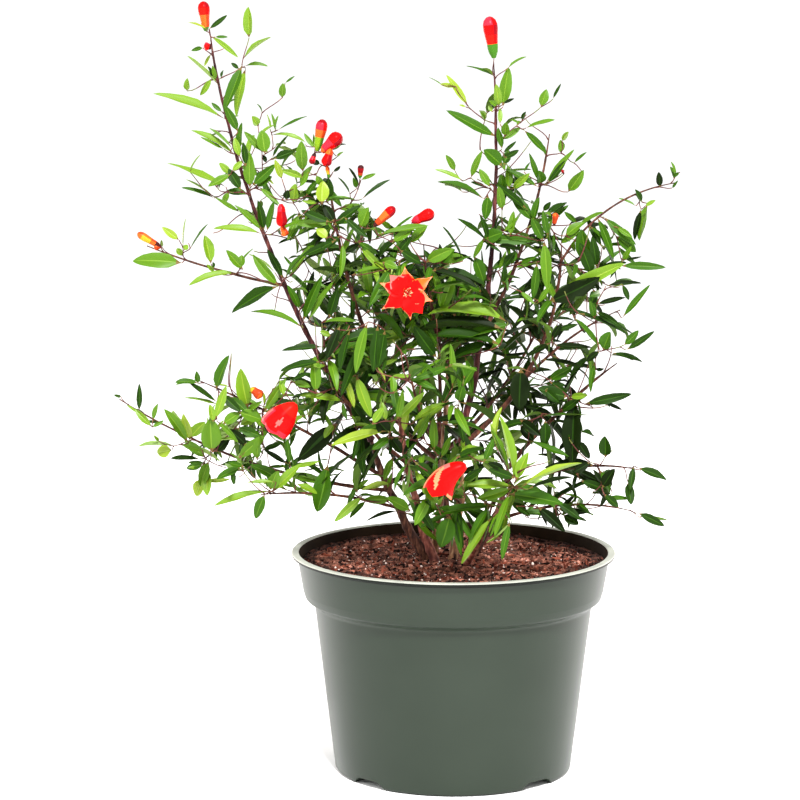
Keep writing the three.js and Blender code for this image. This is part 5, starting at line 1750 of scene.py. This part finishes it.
# Buds: mass, stalk end and tip in pixels, depth and width in millimetres, colours from foot to tip.
BUDS = {
    "bud_left_top": ("left_spire_top", (206, 31), (203, 1), -13, 9.5, (GREEN, ORANGE, ORANGE, SCARLET, RED)),
    "bud_right_top": ("right_spire_top", (494, 58), (489, 16), -6, 12, (GREEN, GREEN, SCARLET, RED, PINK)),
    "bud_left_small": ("left_spire_top", (212, 47), (204, 46), -14, 6.5, (MAROON, PINK)),
    "bud_cluster_a": (
        "bud_cluster", (317, 151), (323, 119), -34, 9.5, (LIME, LIME, LIME, ORANGE, PINK, DARK),
    ),
    "bud_cluster_b": ("bud_cluster", (322, 152), (341, 134), -40, 11.5, (ORANGE, PINK, PINK, RED, RED)),
    "bud_cluster_c": ("bud_cluster", (331, 149), (325, 166), -46, 8.5, (ORANGE, RED, RED)),
    "bud_cluster_d": ("bud_cluster", (315, 153), (311, 164), -38, 5, (MAROON, PINK, DARK)),
    "bud_cluster_e": ("bud_cluster", (360, 178), (361, 165), -24, 5.2, (GREEN, RUST, DARK, MAROON)),
    "bud_cluster_f": ("bud_cluster", (329, 178), (327, 166), -42, 3.4, (GREEN, YELLOW, ORANGE)),
    "bud_hanging": ("left_spire_lower", (281, 204), (282, 227), -48, 9, (PINK, RED, RED)),
    "bud_hanging_low": ("left_spire_lower", (282, 226), (286, 236), -44, 6, (ORANGE, ORANGE)),
    "bud_centre": ("centre_top", (374, 226), (395, 207), -60, 8, (MAROON, RUST, ORANGE, ORANGE, RED, DARK)),
    "bud_centre_right": ("centre_top", (412, 222), (434, 212), -50, 10, (PINK, RED, RED)),
    "bud_arm": ("left_arm", (161, 247), (137, 233), -27, 6.5, (MAROON, ORANGE, YELLOW, ORANGE)),
    "bud_arm_low": ("left_arm", (161, 246), (154, 248), -26, 5, (RUST, ORANGE)),
    "bud_left_low": ("left_low", (251, 388), (262, 397), -46, 8, (YELLOW, RUST, RUST, ORANGE)),
    "bud_right": ("second_spire", (554, 225), (556, 213), -8, 5.2, (MAROON, RUST, RUST, RUST, ORANGE)),
    "bud_speck": ("second_spire", (564, 174), (562, 170), 12, 2.4, (MAROON, DARK)),
}


def bell_colour(along, turn):
    """The bell's colour at a share of its length and of a turn, from the side that faces the viewer. The rose
    stripe along its middle and the rose patch on its upper side are painted highlights.
    """
    from_painted_highlight = abs((turn + 0.5) % 1 - 0.465) / 0.032 + abs(along - 0.6) / 0.18
    if from_painted_highlight < 1 or (0.14 < turn < 0.3 and 0.5 < along < 0.9):
        return ROSE_HIGHLIGHT
    if along > 0.9 or (along > 0.8 and 0.8 < turn < 0.93) or (0.1 < turn < 0.3 and 0.45 < along):
        return PINK
    return SCARLET if along < 0.3 else RED


def trumpet_colour(along, turn):
    """The trumpet's: a painted highlight along its upper edge, a pale tongue of painted highlight that runs
    from it down to the mouth, and a rose painted highlight near the stalk.
    """
    tongue = 0.15 - 0.38 * (along - 0.42)
    tongue_width = 0.05 * math.sin(math.pi * (along - 0.34) / 0.54)
    if 0.4 < along < 0.86 and abs((turn - tongue + 0.5) % 1 - 0.5) < tongue_width:
        return PEACH
    if along > 0.52 and 0.15 < turn < 0.27:
        return PEACH
    if 0.3 < along < 0.5 and 0.1 < turn < 0.26:
        return ROSE_HIGHLIGHT
    return PEACH if along > 0.9 and 0.7 < turn < 0.84 else RED


# The open flower: mass, its middle in pixels, depth, and how far round it leaves keep clear, in pixels.
STAR = ("centre_top", (407, 293), -84, 26)
BUD_CLEAR = 9
# Cups: mass, stalk end and mouth in pixels, each with its depth, how far round it leaves keep clear, rows,
# lobes, how far they stand out, thickness, bow and colour, as for add_cup.
CUPS = {
    "flower_bell": (
        "left_shoulder", (296, 404, -92), (274.5, 428.5, -88), 20,
        [(0, 1.4), (1.2, 3.2), (3.5, 5.2), (7, 7.2), (11, 9.4), (15, 10.9), (19, 11.9), (22.5, 12.3),
         (24.6, 12.0), (25.8, 11.0)],
        5, 0.8, 1.1, 0.6, bell_colour,
    ),
    "flower_trumpet": (
        "front_low", (466, 466, -138), (437, 492, -134), 22,
        [(0, 2.2), (2, 4.4), (6, 6.0), (11, 7.4), (16, 8.8), (21, 10.4), (25, 12.0), (28, 13.0)],
        4, 2.5, 1.0, 3.6, trumpet_colour,
    ),
}


def flower_list():
    """Every bud and flower: name, mass, stalk end, tip, middle, and how far leaves keep clear in pixels."""
    keys = ("name", "mass", "stalk", "tip", "middle", "radius")
    rows = []
    for name, (mass, foot, tip, depth, *_) in BUDS.items():
        base, end = at_pixel(*foot, depth), at_pixel(*tip, depth - 2)
        rows.append((name, mass, base, end, (base + end) / 2, BUD_CLEAR))
    mass, middle, depth, clear = STAR
    star = at_pixel(*middle, depth)
    rows.append(("flower_star", mass, star - STAR_AXIS * STAR_DEPTH, star, star, clear))
    for name, (mass, foot, mouth, clear, *_) in CUPS.items():
        base, end = at_pixel(*foot), at_pixel(*mouth)
        rows.append((name, mass, base, end, (base + end) / 2, clear))
    return [dict(zip(keys, row)) for row in rows]


def make_flowers(flowers):
    for flower in flowers:
        shape = Shape()
        name, stalk, tip = flower["name"], flower["stalk"], flower["tip"]
        if name in BUDS:
            *_, width, colours = BUDS[name]
            add_bud(shape, stalk, tip, width, colours)
        elif name in CUPS:
            add_cup(shape, stalk, tip - stalk, *CUPS[name][4:])
        else:
            add_star(shape, flower["middle"])
        piece = shape.build(name, BLOSSOM_MATERIALS, BLOSSOM_SHARP)


# ---------------------------------------------------------------- light and floor
WHITE, WARM = (1, 1, 1), (1.0, 0.9, 0.86)
# Where each light hangs and what it is aimed at, in metres, its size, watts and colour.
LIGHTS = {
    "key": ((0.35, -1.9, 2.35), (0, 0, 0.35), 0.6, 150, WHITE),
    "fill": ((-1.6, -1.4, 1.2), (0, 0, 0.3), 1.4, 12, WHITE),
    "strip_left": ((-1.2, 0.9, 0.3), (0, 0, 0.1), (1.2, 0.5), 21, WARM),
    "strip_right": ((1.2, 0.9, 0.3), (0, 0, 0.1), (1.2, 0.5), 21, WARM),
}
SKY_STRENGTH = 1.12
FLOOR_REACH = 12.0


def add_area(name, place, aim, size, watts, colour):
    """An area light, a disc of one size or a rectangle of two, that the camera doesn't see."""
    data = bpy.data.lights.new(name, "AREA")
    data.shape = "DISK" if np.ndim(size) == 0 else "RECTANGLE"
    if np.ndim(size):
        data.size, data.size_y = size
    else:
        data.size = size
    data.energy = watts
    data.color = colour
    light = bpy.data.objects.new(name, data)
    away = unit(np.array(place) - np.array(aim))
    side = square_to(np.array([1.0, 0, 0]) if abs(away[0]) < 0.7 else np.array([0, 1.0, 0]), away)
    turn = Matrix([side, np.cross(away, side), away]).transposed()
    light.matrix_world = Matrix.Translation(place) @ turn.to_4x4()
    light.visible_camera = False
    bpy.context.scene.collection.objects.link(light)


def make_stage():
    world = bpy.data.worlds.new("studio")
    world.use_nodes = True
    sky = world.node_tree.nodes["Background"]
    sky.inputs["Color"].default_value = (1, 1, 1, 1)
    sky.inputs["Strength"].default_value = SKY_STRENGTH
    bpy.context.scene.world = world
    bpy.context.scene.view_settings.view_transform = "Standard"
    for name, row in LIGHTS.items():
        add_area(name, *row)
    floor = bpy.data.meshes.new("floor")
    far = FLOOR_REACH
    corners = [(-far, -far, 0), (far, -far, 0), (far, far, 0), (-far, far, 0)]
    floor.from_pydata(corners, [], [(0, 1, 2, 3)])
    floor.materials.append(plain("floor_white", (252, 252, 252), 0.9, 0.0))
    ground = bpy.data.objects.new("floor", floor)
    bpy.context.scene.collection.objects.link(ground)


# ---------------------------------------------------------------- the bush
def lay_seen(flowers, screen):
    """The leaves read off the photograph, by mass, each marked on the screen."""
    rng = np.random.default_rng([SEED, SEEN_DRAWS])
    seen = {}
    for name in MASSES:
        seen[name] = Leaves()
        for row in place_seen(name, flowers, rng):
            add_seen(seen[name], *row, rng)
        if seen[name].rows:
            screen.mark_seen(seen[name].samples())
            screen.fill(seen[name].samples())
    return seen


def make_crown(flowers):
    """Grows every mass, fills what the photograph shows as leaf, and makes the leaves and their twigs."""
    screen = Screen()
    seen = lay_seen(flowers, screen)
    growths, crown = {}, {}
    for index, name in enumerate(MASSES):
        growths[name], crown[name] = grow_mass(index, name, flowers, seen[name], screen)
    reach_light(growths, crown, flowers, screen)
    twigs = Shape()
    for index, name in enumerate(MASSES):
        make_leaves(name, crown[name], np.random.default_rng([SEED, LEAF_DRAWS + index]))
        add_twigs(twigs, growths[name], np.random.default_rng([SEED, TWIG_DRAWS + index]))
    piece = twigs.build("twigs", TWIG_MATERIALS)


make_camera()
make_stage()
make_pot()
make_soil()
make_crumbs()
lay_limbs()
check_limbs()
make_limbs()
FLOWERS = flower_list()
make_crown(FLOWERS)
make_flowers(FLOWERS)
